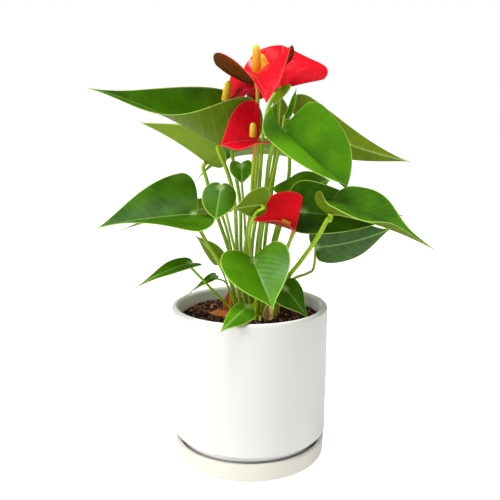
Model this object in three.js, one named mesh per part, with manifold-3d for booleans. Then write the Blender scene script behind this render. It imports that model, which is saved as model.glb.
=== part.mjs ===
// A potted flamingo flower (anthurium): a ceramic cylinder pot on its saucer, potting mix, and a
// clump of leaves and flowers on long stalks. Millimetres, +Z up, origin at the centre of the
// saucer's underside.
import * as THREE from "three";
import { mergeVertices } from "three/addons/utils/BufferGeometryUtils.js";
import Module from "manifold-3d";

const wasm = await Module();
wasm.setup();

// Driving dimensions
const gap = 0.3; // clearance between pieces that touch
const potRadius = 75; // outside, at the rim
const potFootRadius = 66; // the recessed foot that stands inside the saucer
const rimHeight = 149.5;
const bodyBottom = 24.5; // lower edge of the pot's outer wall
const lowerWallTop = 44.5; // the outer wall is straight up to here
const middleHeight = 84.5; // and widens to its full radius here
const wall = 6.5; // pot wall
const saucerRadius = 73.2;
const saucerHeight = 18.3;
const saucerFloor = 5;
const soilTop = 138.5;
const drainRadius = 6;
const roundSegments = 48;

const bladeThickness = 1;
const spatheThickness = 1.2;
const sheathThickness = 1;
const notch = 2; // the web of a blade behind the point where its stalk joins
const neck = 3; // a stalk meets its blade square over this many of its own radii
const stalkSides = 6;
const stalkStep = 16; // length of one straight stretch of a stalk
const midribSteps = 40;
const nearlyFlat = 0.01; // degrees that stand for no bend, where a bend divides

// A blade is a heart-shaped sheet. attach is where the stalk joins it and tip its point; face is
// the way its upper side looks. width is across both halves laid flat and lobe how far each half
// reaches behind the stalk. The bends are in degrees: fold the rise of each half at the midrib,
// curl its further bend out to the margin, droop and sway the bends of the midrib down and to the
// left, twist the turn of the blade about its midrib by the tip, and lift the bend of each lobe.
// Pairs give the left half first, seen from the stalk towards the tip. outline holds, as shares of
// the length: the widest place, the draw of the tip and the fullness of the shoulder. spread is how
// far out the lobes stand, a share of the half width. stalk is its radius, and route the way it
// takes from the soil.
const leaves = [
  { name: "upper_left", attach: [-27, 4, 300], tip: [-133, -64, 350], face: [-0.03, 0.35, 0.94],
    width: 128, lobe: [27, 14], fold: [-11, 61], curl: [71, 52],
    droop: 38, sway: 39, twist: -57, lift: [14, 10],
    outline: [0.0, 0.51, 0.2], spread: [0.52, 0.52],
    stalk: 1.9, route: [[-3, 0, 139], [-11, 0, 190], [-14, 0, 245], [-20, 2, 273]] },
  { name: "left_back", attach: [-43, 39, 282], tip: [-111, 63, 321], face: [-0.0, -0.02, 1.0],
    width: 79, lobe: [24, 16], fold: [49, 46], curl: [7, 0],
    droop: 13, sway: 3, twist: 0, lift: [10, 10],
    outline: [0.0, 0.16, 0.35], spread: [0.52, 0.52],
    stalk: 1.9, route: [[-8, 9, 139], [-19, 14, 194], [-33, 22, 235], [-42, 27, 266]] },
  { name: "centre_back", attach: [43, 64, 291], tip: [-57, 78, 260], face: [0, 0.35, 1],
    width: 71, lobe: [22, 22], fold: [5, 10], curl: [-10, -10],
    droop: 75, sway: 0, twist: 0, lift: [0, 0],
    outline: [0.06, 0.3, 0.42], spread: [0.52, 0.52],
    stalk: 1.9, route: [[20, 17, 139], [22, 30, 196], [34, 50, 239], [40, 58, 268]] },
  { name: "upper_right", attach: [27, -30, 315], tip: [84, -33, 264], face: [0.34, -0.49, 0.8],
    width: 100, lobe: [1, 60], fold: [63, 37], curl: [-62, -46],
    droop: 1, sway: 15, twist: -7, lift: [-7, 124],
    outline: [0.14, 0.02, 0.7], spread: [0.69, 0.2],
    stalk: 2.0, route: [[12, -5, 139], [7, -6, 198], [14, -10, 251], [18, -20, 288]] },
  { name: "right_back", attach: [52, 38, 320], tip: [166, 69, 281], face: [0.07, 0.99, 0.11],
    width: 58, lobe: [20, 20], fold: [36, 33], curl: [8, -8],
    droop: 18, sway: -18, twist: -23, lift: [0, 0],
    outline: [0.0, 0.17, 0.38], spread: [0.52, 0.52],
    stalk: 1.8, route: [[15, 8, 139], [14, 14, 194], [20, 18, 247], [27, 18, 291], [39, 26, 309]] },
  { name: "right", attach: [73, -32, 241], tip: [166, -59, 210], face: [0.0, 0.08, 1.0],
    width: 100, lobe: [1, 29], fold: [26, 50], curl: [5, -80],
    droop: 20, sway: -17, twist: 25, lift: [21, 61],
    outline: [0.15, 0.56, 0.39], spread: [0.32, 0.32],
    stalk: 2.1, route: [[24, -9, 139], [36, -7, 175], [47, -19, 194], [61, -33, 219], [70, -34, 236]] },
  { name: "lower_right", attach: [64, 8, 203], tip: [142, 22, 221], face: [0.02, -0.99, -0.14],
    width: 49, lobe: [6, 1], fold: [4, -16], curl: [-16, -17],
    droop: 35, sway: 11, twist: -2, lift: [0, -13],
    outline: [0.23, 0.3, 0.44], spread: [0.45, 0.45],
    stalk: 1.4, route: [[28, 2, 139], [40, 4, 170], [56, 11, 176], [63, 18, 180]] },
  { name: "middle_back", attach: [39, 29, 253], tip: [79, 25, 266], face: [-0.04, -0.7, 0.71],
    width: 56, lobe: [16, 13], fold: [-7, 24], curl: [-28, 4],
    droop: 20, sway: 5, twist: 21, lift: [8, 0],
    outline: [0.13, 0.13, 0.45], spread: [0.52, 0.52],
    stalk: 1.5, route: [[20, 8, 139], [22, 13, 187], [29, 18, 218]] },
  { name: "middle_right", attach: [51, -1, 238], tip: [147, 6, 234], face: [-0.0, -0.88, 0.48],
    width: 62, lobe: [16, 13], fold: [17, 31], curl: [-7, -3],
    droop: 9, sway: 18, twist: -11, lift: [0, -3],
    outline: [0.01, 0.11, 0.37], spread: [0.53, 0.53],
    stalk: 1.7, route: [[26, 8, 139], [28, 6, 181], [39, 2, 211]] },
  { name: "left", attach: [-50, -25, 239], tip: [-135, -50, 230], face: [-0.02, -0.43, 0.9],
    width: 98, lobe: [17, 4], fold: [20, 34], curl: [-12, -19],
    droop: 1, sway: 16, twist: 19, lift: [6, -3],
    outline: [0.09, 0.19, 0.32], spread: [0.39, 0.39],
    stalk: 1.8, route: [[-12, -7, 139], [-17, -12, 171], [-29, -18, 195], [-40, -23, 214]] },
  { name: "left_rear", attach: [-28, 2, 243], tip: [-128, -8, 219], face: [0, 0.6, 0.8],
    width: 34, lobe: [12, 12], fold: [10, 10], curl: [-10, -10],
    droop: 20, sway: 0, twist: 0, lift: [0, 0],
    outline: [0.06, 0.45, 0.42], spread: [0.5, 0.5],
    joined: true,
    stalk: 1.4, route: [[-9, 2, 139], [-16, 4, 191], [-22, 6, 220]] },
  { name: "round", attach: [-26, -27, 264], tip: [-30, -45, 237], face: [0, -1, 0.35],
    width: 31, lobe: [5, 5], fold: [6, 6], curl: [-15, -15],
    droop: 14, sway: 0, twist: 0, lift: [0, 0],
    outline: [0.3, 0.06, 0.5], spread: [0.2, 0.2],
    stalk: 1.3, route: [[-8, -5, 139], [-12, -10, 192], [-18, -16, 223]] },
  { name: "young", attach: [-8, -2, 282], tip: [-7, -14, 265], face: [0, -1, 0.5],
    width: 22, lobe: [5, 5], fold: [12, 12], curl: [-10, -10],
    droop: 14, sway: 0, twist: 0, lift: [0, 0],
    outline: [0.15, 0.16, 0.5], spread: [0.6, 0.6],
    stalk: 1.2, route: [[3, 6, 139], [-3, 6, 200], [-5, 4, 235], [-7, 3, 259]] },
  { name: "bronze", attach: [11, -50, 251], tip: [-16, -60, 248], face: [0.1, 0.8, 0.6],
    width: 37, lobe: [6, 6], fold: [16, 16], curl: [-10, -10],
    droop: 16, sway: 0, twist: 0, lift: [0, 0],
    outline: [0.06, 0.3, 0.42], spread: [0.52, 0.52],
    stalk: 1.4, route: [[7, -12, 139], [1, -22, 198], [0, -38, 225], [5, -47, 243]] },
  { name: "front", attach: [3, -42, 199], tip: [21, -70, 161], face: [0.04, -0.81, 0.58],
    width: 68, lobe: [7, 13], fold: [22, 34], curl: [6, -17],
    droop: 14, sway: 4, twist: 2, lift: [-9, 7],
    outline: [0.11, 0.22, 0.5], spread: [0.6, 0.6],
    stalk: 1.7, route: [[5, -21, 139], [7, -24, 165], [6, -34, 185]] },
  { name: "over_rim", attach: [0, -60, 163], tip: [-25, -89, 147], face: [0.07, -0.67, 0.74],
    width: 23, lobe: [1, 2], fold: [-11, -14], curl: [-20, -17],
    droop: 21, sway: 1, twist: 4, lift: [2, -1],
    outline: [0.13, 0.18, 0.42], spread: [0.52, 0.52],
    stalk: 1.3, route: [[10, -23, 139], [7, -36, 151], [6, -48, 162]] },
  { name: "front_right", attach: [31, -28, 171], tip: [54, -38, 142], face: [0.47, -0.65, 0.6],
    width: 38, lobe: [7, 10], fold: [1, 2], curl: [-7, -15],
    droop: 22, sway: 3, twist: -6, lift: [-5, 0],
    outline: [0.03, 0.35, 0.4], spread: [0.49, 0.49],
    stalk: 1.5, route: [[21, -16, 139], [24, -17, 160], [28, -19, 168]] },
  { name: "lower_left", attach: [-53, -32, 195], tip: [-104, -63, 176], face: [-0.06, -0.69, 0.72],
    width: 25, lobe: [7, 4], fold: [28, -9], curl: [8, -7],
    droop: 32, sway: 5, twist: -20, lift: [0, -2],
    outline: [0.05, 0.49, 0.34], spread: [0.49, 0.49],
    stalk: 1.3, route: [[-15, -15, 139], [-29, -20, 161], [-41, -26, 176]] },
  { name: "seedling", attach: [-33, -14, 179], tip: [-62, -30, 161], face: [0, -0.7, 0.7],
    width: 9, lobe: [3, 3], fold: [20, 20], curl: [-10, -10],
    droop: 30, sway: 0, twist: 0, lift: [0, 0],
    outline: [0.06, 0.62, 0.25], spread: [0.5, 0.5],
    joined: true,
    stalk: 0.9, route: [[-9, -13, 139], [-19, -13, 166], [-24, -13, 174]] },
  { name: "faded", attach: [-32, 14, 191], tip: [-55, 22, 213], face: [0, 1, 0.5],
    width: 20, lobe: [5, 5], fold: [18, 18], curl: [-10, -10],
    droop: 20, sway: 0, twist: 0, lift: [0, 0],
    outline: [0.06, 0.3, 0.42], spread: [0.52, 0.52],
    joined: true,
    stalk: 0.9, route: [[-15, 8, 139], [-25, 12, 174]] },
  { name: "spear", attach: [33, 0, 325], tip: [43, 0, 352], face: [0.3, -1, 0],
    width: 12, lobe: [1, 1], fold: [40, 40], curl: [40, 40],
    droop: 8, sway: 0, twist: 0, lift: [0, 0],
    outline: [0.3, 0.2, 0.35], spread: [0.2, 0.2],
    joined: true,
    stalk: 1.2, route: [[13, 1, 139], [10, 2, 196], [17, -2, 250], [27, -2, 296]] },
  { name: "unfurling", attach: [27, 8, 314], tip: [29, 10, 347], face: [0.2, 1, 0],
    width: 20, lobe: [2, 2], fold: [20, 20], curl: [-10, -10],
    droop: 12, sway: 0, twist: 0, lift: [0, 0],
    outline: [0.3, 0.1, 0.4], spread: [0.2, 0.2],
    joined: true,
    stalk: 1.3, route: [[9, 3, 139], [6, 6, 195], [16, 8, 248], [23, 9, 286]] },
];

// The spadix stands at base, along aim.
const flowers = [
  { name: "top", attach: [6, -22, 358], tip: [13, -89, 337], face: [0.05, -0.58, 0.81],
    width: 86, lobe: [31, 52], fold: [39, 13], curl: [0, 30],
    droop: 71, sway: 46, twist: -25, lift: [13, 32],
    outline: [0.0, 0.02, 0.33], spread: [0.74, 0.6],
    spadix: { base: [6, -25, 365], aim: [0.0, -0.22, 1.0], radius: 4, length: 23 },
    stalk: 1.8,
    route: [[3, -4, 139], [-2, -10, 199], [4, -19, 252], [7, -25, 297], [7, -28, 330], [7, -27, 348]] },
  { name: "rear", attach: [27, 14, 356], tip: [32, 39, 393], face: [-0.11, -0.84, 0.53],
    width: 93, lobe: [12, 8], fold: [-15, 25], curl: [-50, -14],
    droop: 34, sway: -2, twist: 40, lift: [0, 28],
    outline: [0.12, 0.02, 0.52], spread: [0.54, 0.54],
    spadix: { base: [18, 5, 362], aim: [-0.39, -0.17, 1.0], radius: 3.6, length: 22 },
    stalk: 1.8, route: [[8, 9, 139], [2, 8, 195], [8, 0, 249], [12, 2, 305], [17, 8, 333]] },
  { name: "left", attach: [-19, 30, 345], tip: [6, 17, 353], face: [0.0, -0.7, 0.71],
    width: 51, lobe: [1, 8], fold: [12, 8], curl: [-2, -10],
    droop: 16, sway: -3, twist: -11, lift: [0, 0],
    outline: [0.02, 0.05, 0.43], spread: [0.51, 0.51],
    spadix: { base: [-23, 20, 341], aim: [0.18, 0.0, 1.0], radius: 3.9, length: 19 },
    stalk: 1.7, route: [[-3, 5, 139], [-8, 7, 195], [-9, 8, 244], [-15, 10, 282], [-19, 10, 314]] },
  { name: "middle", attach: [5, -46, 306], tip: [-26, -48, 302], face: [-0.0, -0.14, 0.99],
    width: 77, lobe: [12, 5], fold: [2, 59], curl: [11, -9],
    droop: 13, sway: 3, twist: -17, lift: [0, 0],
    outline: [0.02, 0.18, 0.49], spread: [0.6, 0.6],
    spadix: { base: [3, -52, 310], aim: [0.0, -0.44, 1.0], radius: 3, length: 12 },
    stalk: 1.7, route: [[2, -9, 139], [-5, -20, 194], [1, -30, 244], [3, -38, 280]] },
  { name: "low", attach: [40, -34, 228], tip: [2, -34, 235], face: [0.07, -0.3, 0.95],
    width: 69, lobe: [1, 2], fold: [11, 41], curl: [29, 11],
    droop: 8, sway: 16, twist: 12, lift: [21, 6],
    outline: [0.21, 0.23, 0.61], spread: [0.38, 0.66],
    spadix: { base: [36, -35, 232], aim: [-0.9, -0.05, 0.5], radius: 1.6, length: 8 },
    stalk: 1.6, route: [[15, -12, 139], [26, -15, 183], [34, -24, 206]] },
];

// Dry sheaths at the foot of the clump: narrow curled sheets given the same way as a blade.
const sheathShape = {
  lobe: [1, 1], lift: [0, 0], twist: 0, sway: 0, outline: [0.3, 0.2, 0.4], spread: [0.4, 0.4],
};
const sheaths = [
  { name: "upright", attach: [-20, -9, 142], tip: [-20, -10, 165], face: [-0.4, -1, 0.2], width: 12,
    fold: [20, 20], curl: [40, 40], droop: -12, ...sheathShape },
  { name: "fallen", attach: [-20, -17, 141], tip: [-40, -14, 144], face: [0, -0.4, 1], width: 10,
    fold: [10, 10], curl: [20, 20], droop: 10, ...sheathShape },
  { name: "pale", attach: [17, -28, 142], tip: [18, -28, 157], face: [0, -1, 0.2], width: 12,
    fold: [20, 20], curl: [40, 40], droop: -8, ...sheathShape },
];

const materials = {
  glaze: { color: 0xf3f2ee, roughness: 0.4 },
  saucer: { color: 0xece8dd, roughness: 0.5 },
  soil: { color: 0x3a2618, roughness: 0.95 },
  leaf: { color: 0x2f6b1c, roughness: 0.35 },
  stalk: { color: 0x86b32e, roughness: 0.45 },
  spathe: { color: 0xd8141f, roughness: 0.25 },
  spadix: { color: 0xf2c822, roughness: 0.6 },
  flowerStalk: { color: 0x8a7a2c, roughness: 0.45 },
  sheath: { color: 0xb5652c, roughness: 0.8 },
};
for (const finish of Object.values(materials)) finish.metalness = 0;

const plant = new THREE.Group();

function addPiece(name, geometry, finish, parent = plant) {
  const mesh = new THREE.Mesh(geometry, new THREE.MeshStandardMaterial(materials[finish]));
  mesh.name = name;
  parent.add(mesh);
  return mesh;
}

const vector = (xyz) => new THREE.Vector3(...xyz);
const radians = THREE.MathUtils.degToRad;

// Booleans

function solidOf(geometry) {
  const bare = new THREE.BufferGeometry().setIndex(geometry.index);
  bare.setAttribute("position", geometry.getAttribute("position"));
  const merged = mergeVertices(bare, 1e-3);
  return new wasm.Manifold(
    new wasm.Mesh({
      numProp: 3,
      vertProperties: new Float32Array(merged.getAttribute("position").array),
      triVerts: new Uint32Array(merged.index.array),
    }),
  );
}

function geometryOf(solid) {
  const mesh = solid.getMesh();
  const geometry = new THREE.BufferGeometry();
  geometry.setAttribute("position", new THREE.BufferAttribute(mesh.vertProperties, 3));
  geometry.setIndex(new THREE.BufferAttribute(mesh.triVerts, 1));
  return geometry;
}

// Turned pieces: pot, saucer, soil

function turned(profile) {
  const points = profile.map(([r, z]) => new THREE.Vector2(r, z));
  return new THREE.LatheGeometry(points, roundSegments).rotateX(Math.PI / 2);
}

// Points of a quarter turn in a profile, about a centre, from one angle to another in degrees.
function corner(r, z, radius, from, to, steps = 3) {
  return Array.from({ length: steps + 1 }, (_, i) => {
    const angle = radians(from + ((to - from) * i) / steps);
    return [r + radius * Math.cos(angle), z + radius * Math.sin(angle)];
  });
}

function buildPot() {
  const footBottom = saucerFloor + gap;
  const footWidth = 8;
  const footRise = 3; // the floor's underside stands this far above the foot ring
  const floorThickness = 7;
  const floorTop = footBottom + footRise + floorThickness;
  const bulge = 2; // rounding at the lower edge of the outer wall
  const bend = 6; // rounding inside, where the wall meets the floor
  const lowerRadius = potRadius - 1; // the wall stands in a little below its middle
  const inner = potRadius - wall;
  const lip = wall / 2;
  const profile = [
    [drainRadius, footBottom + footRise],
    [potFootRadius - footWidth, footBottom + footRise],
    [potFootRadius - footWidth, footBottom],
    [potFootRadius - 1, footBottom],
    [potFootRadius, footBottom + 1],
    [potFootRadius, bodyBottom],
    ...corner(lowerRadius - bulge, bodyBottom + bulge, bulge, -90, 0),
    [lowerRadius, lowerWallTop],
    [potRadius, middleHeight],
    ...corner(potRadius - lip, rimHeight - lip, lip, 0, 180, 6),
    [inner, middleHeight],
    [inner - 1, floorTop + bend],
    ...corner(inner - 1 - bend, floorTop + bend, bend, 0, -90),
    [drainRadius, floorTop],
    [drainRadius, footBottom + footRise],
  ];
  let solid = solidOf(turned(profile));
  const drainWays = 3; // notches under the foot ring that let water out to the saucer
  const wayWidth = 10;
  for (let i = 0; i < drainWays; i++) {
    const cutter = new THREE.BoxGeometry(2.5 * footWidth, wayWidth, footRise).toNonIndexed();
    cutter.translate(potFootRadius - footWidth / 2, 0, footBottom);
    cutter.rotateZ(((i + 0.5) * 2 * Math.PI) / drainWays);
    solid = solid.subtract(solidOf(cutter));
  }
  addPiece("pot", geometryOf(solid), "glaze");
  return { floorTop, inner };
}

function buildSaucer() {
  const lip = 2;
  const edge = 4; // rounding where the underside meets the side
  const inner = saucerRadius - 2 * lip;
  addPiece(
    "saucer",
    turned([
      [0, 0],
      ...corner(saucerRadius - 1 - edge, edge, edge, -90, 0),
      ...corner(saucerRadius - lip, saucerHeight - lip, lip, 0, 180, 6),
      [inner, saucerFloor + 2],
      [inner - 2, saucerFloor],
      [0, saucerFloor],
    ]),
    "saucer",
  );
}

function buildSoil({ floorTop, inner }) {
  const edge = 6;
  addPiece(
    "soil",
    turned([
      [0, floorTop + gap],
      ...corner(inner - 1 - gap - edge, floorTop + gap + edge, edge, -90, 0),
      [inner - gap, middleHeight],
      [inner - gap, soilTop - 1.5],
      [inner - gap - 2, soilTop],
      [0, soilTop],
    ]),
    "soil",
  );
}

// Blades

// Fullness of the outline's curves, as shares of the stretch each one covers.
const outlineCurves = { tip: 0.04, side: 0.55, lobe: 0.6, back: 0.35, sinus: 0.06 };

// One half of the outline laid flat, from the tip round to the notch behind the stalk.
function halfMargin(blade, length, side, perCurve) {
  const [widest, draw, shoulder] = blade.outline;
  const half = blade.width / 2;
  const lobe = blade.lobe[side];
  const lobeY = half * blade.spread[side];
  const wideX = length * widest;
  const full = outlineCurves;
  const sideX = wideX - (wideX + lobe) * full.side;
  const outerY = lobeY + (half - lobeY) * full.lobe;
  const sinusX = -notch - (lobe - notch) * full.back;
  const curves = [
    [length, 0, length * (1 - draw), half * full.tip, wideX + length * shoulder, half, wideX, half],
    [wideX, half, sideX, half, -lobe, outerY, -lobe, lobeY],
    [-lobe, lobeY, -lobe, lobeY * full.back, sinusX, lobeY * full.sinus, -notch, 0],
  ];
  return curves.flatMap(([ax, ay, bx, by, cx, cy, dx, dy], i) => {
    const curve = new THREE.CubicBezierCurve(
      new THREE.Vector2(ax, ay),
      new THREE.Vector2(bx, by),
      new THREE.Vector2(cx, cy),
      new THREE.Vector2(dx, dy),
    );
    return curve.getPoints(perCurve[i]).slice(i ? 1 : 0);
  });
}

// The way the midrib runs, a share of the length along it.
function midribBearing(blade, share) {
  const down = radians(blade.droop) * share;
  const left = radians(blade.sway) * share;
  const level = new THREE.Vector3(Math.cos(left), Math.sin(left), 0);
  return {
    ahead: level.multiplyScalar(Math.cos(down)).setZ(-Math.sin(down)),
    across: new THREE.Vector3(-Math.sin(left), Math.cos(left), 0),
  };
}

// The midrib's points, evenly spaced, for a blade one unit long.
function midribOf(blade) {
  const points = [new THREE.Vector3()];
  for (let i = 0; i < midribSteps; i++) {
    const { ahead } = midribBearing(blade, (i + 0.5) / midribSteps);
    points.push(points[i].clone().addScaledVector(ahead, 1 / midribSteps));
  }
  return points;
}

function midribPoint(midrib, share) {
  const place = share * midribSteps;
  const before = Math.min(Math.floor(place), midribSteps - 1);
  return midrib[before].clone().lerp(midrib[before + 1], place - before);
}

// Where a point of the flat blade goes once it is folded, curled, drooped, twisted and lifted.
function bentPoint(blade, { length, midrib }, x, y) {
  const side = y > 0 ? 0 : 1;
  const share = Math.max(0, x / length);
  const { ahead, across } = midribBearing(blade, share);
  let place = midribPoint(midrib, share).multiplyScalar(length);
  let up = ahead.cross(across);
  if (x < 0) {
    const lobe = Math.max(blade.lobe[side], notch);
    const lift = radians(blade.lift[side] || nearlyFlat);
    const rise = (lift * -x) / lobe;
    place = new THREE.Vector3(-Math.sin(rise), 0, 1 - Math.cos(rise)).multiplyScalar(lobe / lift);
    up = new THREE.Vector3(Math.sin(rise), 0, Math.cos(rise));
  }
  const twist = radians(blade.twist) * share;
  const outward = across.clone().multiplyScalar(Math.cos(twist)).addScaledVector(up, Math.sin(twist));
  const upward = up.clone().multiplyScalar(Math.cos(twist)).addScaledVector(across, -Math.sin(twist));
  const curl = radians(blade.curl[side] || nearlyFlat) / (blade.width / 2);
  const fold = radians(blade.fold[side]);
  const turn = fold + curl * Math.abs(y);
  const out = (Math.sin(turn) - Math.sin(fold)) / curl;
  const height = (Math.cos(fold) - Math.cos(turn)) / curl;
  return place.addScaledVector(outward, y > 0 ? out : -out).addScaledVector(upward, height);
}

// A closed sheet: rings of points from the stalk out to the margin, doubled by the thickness.
function bladeGeometry(blade, thickness, detail) {
  const frame = bladeFrame(blade);
  const { length } = frame;
  const left = halfMargin(blade, length, 0, detail.margin);
  const right = halfMargin(blade, length, 1, detail.margin);
  const mirrored = right.reverse().slice(1, -1).map((p) => new THREE.Vector2(p.x, -p.y));
  const margin = [...left, ...mirrored];
  const count = margin.length;
  const points = [new THREE.Vector3()];
  for (let ring = 1; ring <= detail.rings; ring++)
    for (const p of margin)
      points.push(bentPoint(blade, frame, (p.x * ring) / detail.rings, (p.y * ring) / detail.rings));
  const faces = [];
  for (let i = 0; i < count; i++) {
    const next = (i + 1) % count;
    faces.push([0, 1 + i, 1 + next]);
    for (let ring = 1; ring < detail.rings; ring++) {
      const a = 1 + (ring - 1) * count;
      const b = a + count;
      faces.push([a + i, b + i, b + next], [a + i, b + next, a + next]);
    }
  }
  const sheet = new THREE.BufferGeometry().setFromPoints(points);
  sheet.setIndex(faces.flat());
  sheet.computeVertexNormals();
  const normals = sheet.getAttribute("normal");
  const shift = (i, by) => {
    const normal = new THREE.Vector3().fromBufferAttribute(normals, i);
    return points[i].clone().addScaledVector(normal, by);
  };
  const total = points.length;
  const shell = [...points.keys()].map((i) => shift(i, thickness / 2));
  shell.push(...[...points.keys()].map((i) => shift(i, -thickness / 2)));
  const shellFaces = [...faces, ...faces.map(([a, b, c]) => [total + a, total + c, total + b])];
  const rim = total - count;
  for (let i = 0; i < count; i++) {
    const a = rim + i;
    const b = rim + ((i + 1) % count);
    shellFaces.push([a, total + a, total + b], [a, total + b, b]);
  }
  const geometry = new THREE.BufferGeometry().setFromPoints(shell);
  geometry.setIndex(shellFaces.flat());
  return geometry;
}

// The blade's length along its midrib, and the turn that lays the midrib's chord from the stalk
// to the tip with the upper side towards face.
function bladeFrame(blade) {
  const midrib = midribOf(blade);
  const end = midrib.at(-1);
  const chord = vector(blade.tip).sub(vector(blade.attach));
  const length = chord.length() / end.length();
  const from = frameAlong(end, new THREE.Vector3(0, 0, 1));
  const basis = frameAlong(chord, vector(blade.face)).multiply(from.transpose());
  const up = new THREE.Vector3().setFromMatrixColumn(basis, 2);
  return { length, midrib, up, turn: new THREE.Quaternion().setFromRotationMatrix(basis) };
}

// Axes with x along a direction and z as near as it can be to another.
function frameAlong(direction, upper) {
  const x = direction.clone().normalize();
  const z = upper.clone().addScaledVector(x, -upper.dot(x)).normalize();
  return new THREE.Matrix4().makeBasis(x, z.clone().cross(x), z);
}

function place(mesh, blade) {
  mesh.position.set(...blade.attach);
  mesh.quaternion.copy(bladeFrame(blade).turn);
  return mesh;
}

// Stalks

const uprightFoot = 6; // height over which a stalk leaves the soil upright

function stalkGeometry(blade, clearance) {
  const { up } = bladeFrame(blade);
  const dip = Math.sin(radians(Math.max(0, ...blade.fold.map((fold) => -fold)))) * blade.stalk;
  const [x, y, z] = blade.route[0];
  const foot = soilTop + gap;
  const end = vector(blade.attach);
  const points = [
    new THREE.Vector3(x, y, foot),
    new THREE.Vector3(x, y, foot + uprightFoot),
    ...blade.route.slice(1).map(vector),
    end.clone().addScaledVector(up, -neck * blade.stalk),
    end.clone().addScaledVector(up, -clearance - dip),
  ];
  const path = new THREE.CatmullRomCurve3(points, false, "catmullrom", 0.5);
  const section = new THREE.Shape(
    Array.from({ length: stalkSides }, (_, i) => {
      const angle = (2 * Math.PI * i) / stalkSides;
      return new THREE.Vector2(Math.cos(angle), Math.sin(angle)).multiplyScalar(blade.stalk);
    }),
  );
  const steps = Math.max(4, Math.round(path.getLength() / stalkStep) + 2);
  return new THREE.ExtrudeGeometry(section, { steps, extrudePath: path, curveSegments: 1 });
}

// Large leaves are a blade and a stalk; a small leaf is one piece.

const fullDetail = { margin: [4, 2, 2], rings: 4 };
const smallDetail = { margin: [3, 1, 1], rings: 2 };
const smallWidth = 40; // narrower blades get the coarser detail

function buildLeaf(leaf) {
  if (leaf.joined) {
    const blade = new THREE.Mesh(bladeGeometry(leaf, bladeThickness, smallDetail));
    place(blade, leaf).updateMatrix();
    const sheet = blade.geometry.applyMatrix4(blade.matrix);
    const joined = solidOf(sheet).add(solidOf(stalkGeometry(leaf, 0)));
    addPiece(`leaf_${leaf.name}`, geometryOf(joined), "leaf");
    return;
  }
  const detail = leaf.width < smallWidth ? smallDetail : fullDetail;
  place(addPiece(`leaf_${leaf.name}`, bladeGeometry(leaf, bladeThickness, detail), "leaf"), leaf);
  addPiece(`stalk_${leaf.name}`, stalkGeometry(leaf, bladeThickness / 2 + gap), "stalk");
}

// A flower is a red spathe, the yellow spadix that stands on it, and a stalk.

function spadixGeometry({ radius, length }) {
  const rings = 5;
  const sides = 8;
  const taper = 0.35; // narrowing by the top, a share of the radius
  const crown = { radius: 0.4, height: 0.97 }; // where the top rounds over, as shares
  const profile = [new THREE.Vector2(0, 0)];
  for (let i = 0; i < rings; i++) {
    const share = i / rings;
    profile.push(new THREE.Vector2(radius * (1 - taper * share ** 3), length * share));
  }
  profile.push(new THREE.Vector2(radius * crown.radius, length * crown.height));
  profile.push(new THREE.Vector2(0, length));
  return new THREE.LatheGeometry(profile, sides);
}

function buildFlower(flower) {
  const spathe = bladeGeometry(flower, spatheThickness, fullDetail);
  place(addPiece(`spathe_${flower.name}`, spathe, "spathe"), flower);
  addPiece(`flower_stalk_${flower.name}`, stalkGeometry(flower, spatheThickness / 2 + gap), "flowerStalk");
  const spadix = addPiece(`spadix_${flower.name}`, spadixGeometry(flower.spadix), "spadix");
  spadix.position.set(...flower.spadix.base);
  const axis = vector(flower.spadix.aim).normalize();
  spadix.quaternion.setFromUnitVectors(new THREE.Vector3(0, 1, 0), axis);
}

buildSoil(buildPot());
buildSaucer();
leaves.forEach(buildLeaf);
flowers.forEach(buildFlower);
for (const sheath of sheaths) {
  const geometry = bladeGeometry(sheath, sheathThickness, smallDetail);
  place(addPiece(`sheath_${sheath.name}`, geometry, "sheath"), sheath);
}

export default plant;
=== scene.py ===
import math

import bpy
import numpy as np
from mathutils import Matrix, Vector


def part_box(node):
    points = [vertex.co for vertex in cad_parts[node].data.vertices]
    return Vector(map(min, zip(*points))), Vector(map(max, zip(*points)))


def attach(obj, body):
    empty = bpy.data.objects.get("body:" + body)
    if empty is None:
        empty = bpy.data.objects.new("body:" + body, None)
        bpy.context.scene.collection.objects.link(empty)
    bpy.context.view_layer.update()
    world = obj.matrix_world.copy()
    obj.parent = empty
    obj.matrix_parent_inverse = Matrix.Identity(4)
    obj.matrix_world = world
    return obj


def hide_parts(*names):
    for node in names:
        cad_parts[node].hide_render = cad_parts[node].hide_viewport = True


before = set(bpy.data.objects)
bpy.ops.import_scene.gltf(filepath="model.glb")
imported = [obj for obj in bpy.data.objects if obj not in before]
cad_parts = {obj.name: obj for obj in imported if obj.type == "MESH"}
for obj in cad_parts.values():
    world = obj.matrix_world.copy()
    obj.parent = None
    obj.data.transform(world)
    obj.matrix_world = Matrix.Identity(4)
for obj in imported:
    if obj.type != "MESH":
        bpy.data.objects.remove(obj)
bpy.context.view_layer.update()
scene = bpy.context.scene
mm = 0.001  # the tables below are in millimetres, like the CAD source

# Camera: a level stand a little below the top of the plant, tipped down towards the pot

cameraSettings = {
    "place": (0.34, -651, 325), "pitch": 79.26, "lens": 50, "sensor": 36, "clipStart": 0.01,
}


def makeCamera(settings):
    data = bpy.data.cameras.new("camera")
    data.lens = settings["lens"]
    data.sensor_width = settings["sensor"]
    data.clip_start = settings["clipStart"]
    camera = bpy.data.objects.new("camera", data)
    camera.location = Vector(settings["place"]) * mm
    camera.rotation_euler = (math.radians(settings["pitch"]), 0, 0)
    scene.collection.objects.link(camera)
    scene.camera = camera


makeCamera(cameraSettings)
scene.view_settings.view_transform = "Standard"
print("camera placed")

# Node building blocks, for materials and Geometry Nodes alike


def shaderTree(name):
    material = bpy.data.materials.new(name)
    material.use_nodes = True
    tree = material.node_tree
    return material, tree, tree.nodes["Principled BSDF"]


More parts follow.
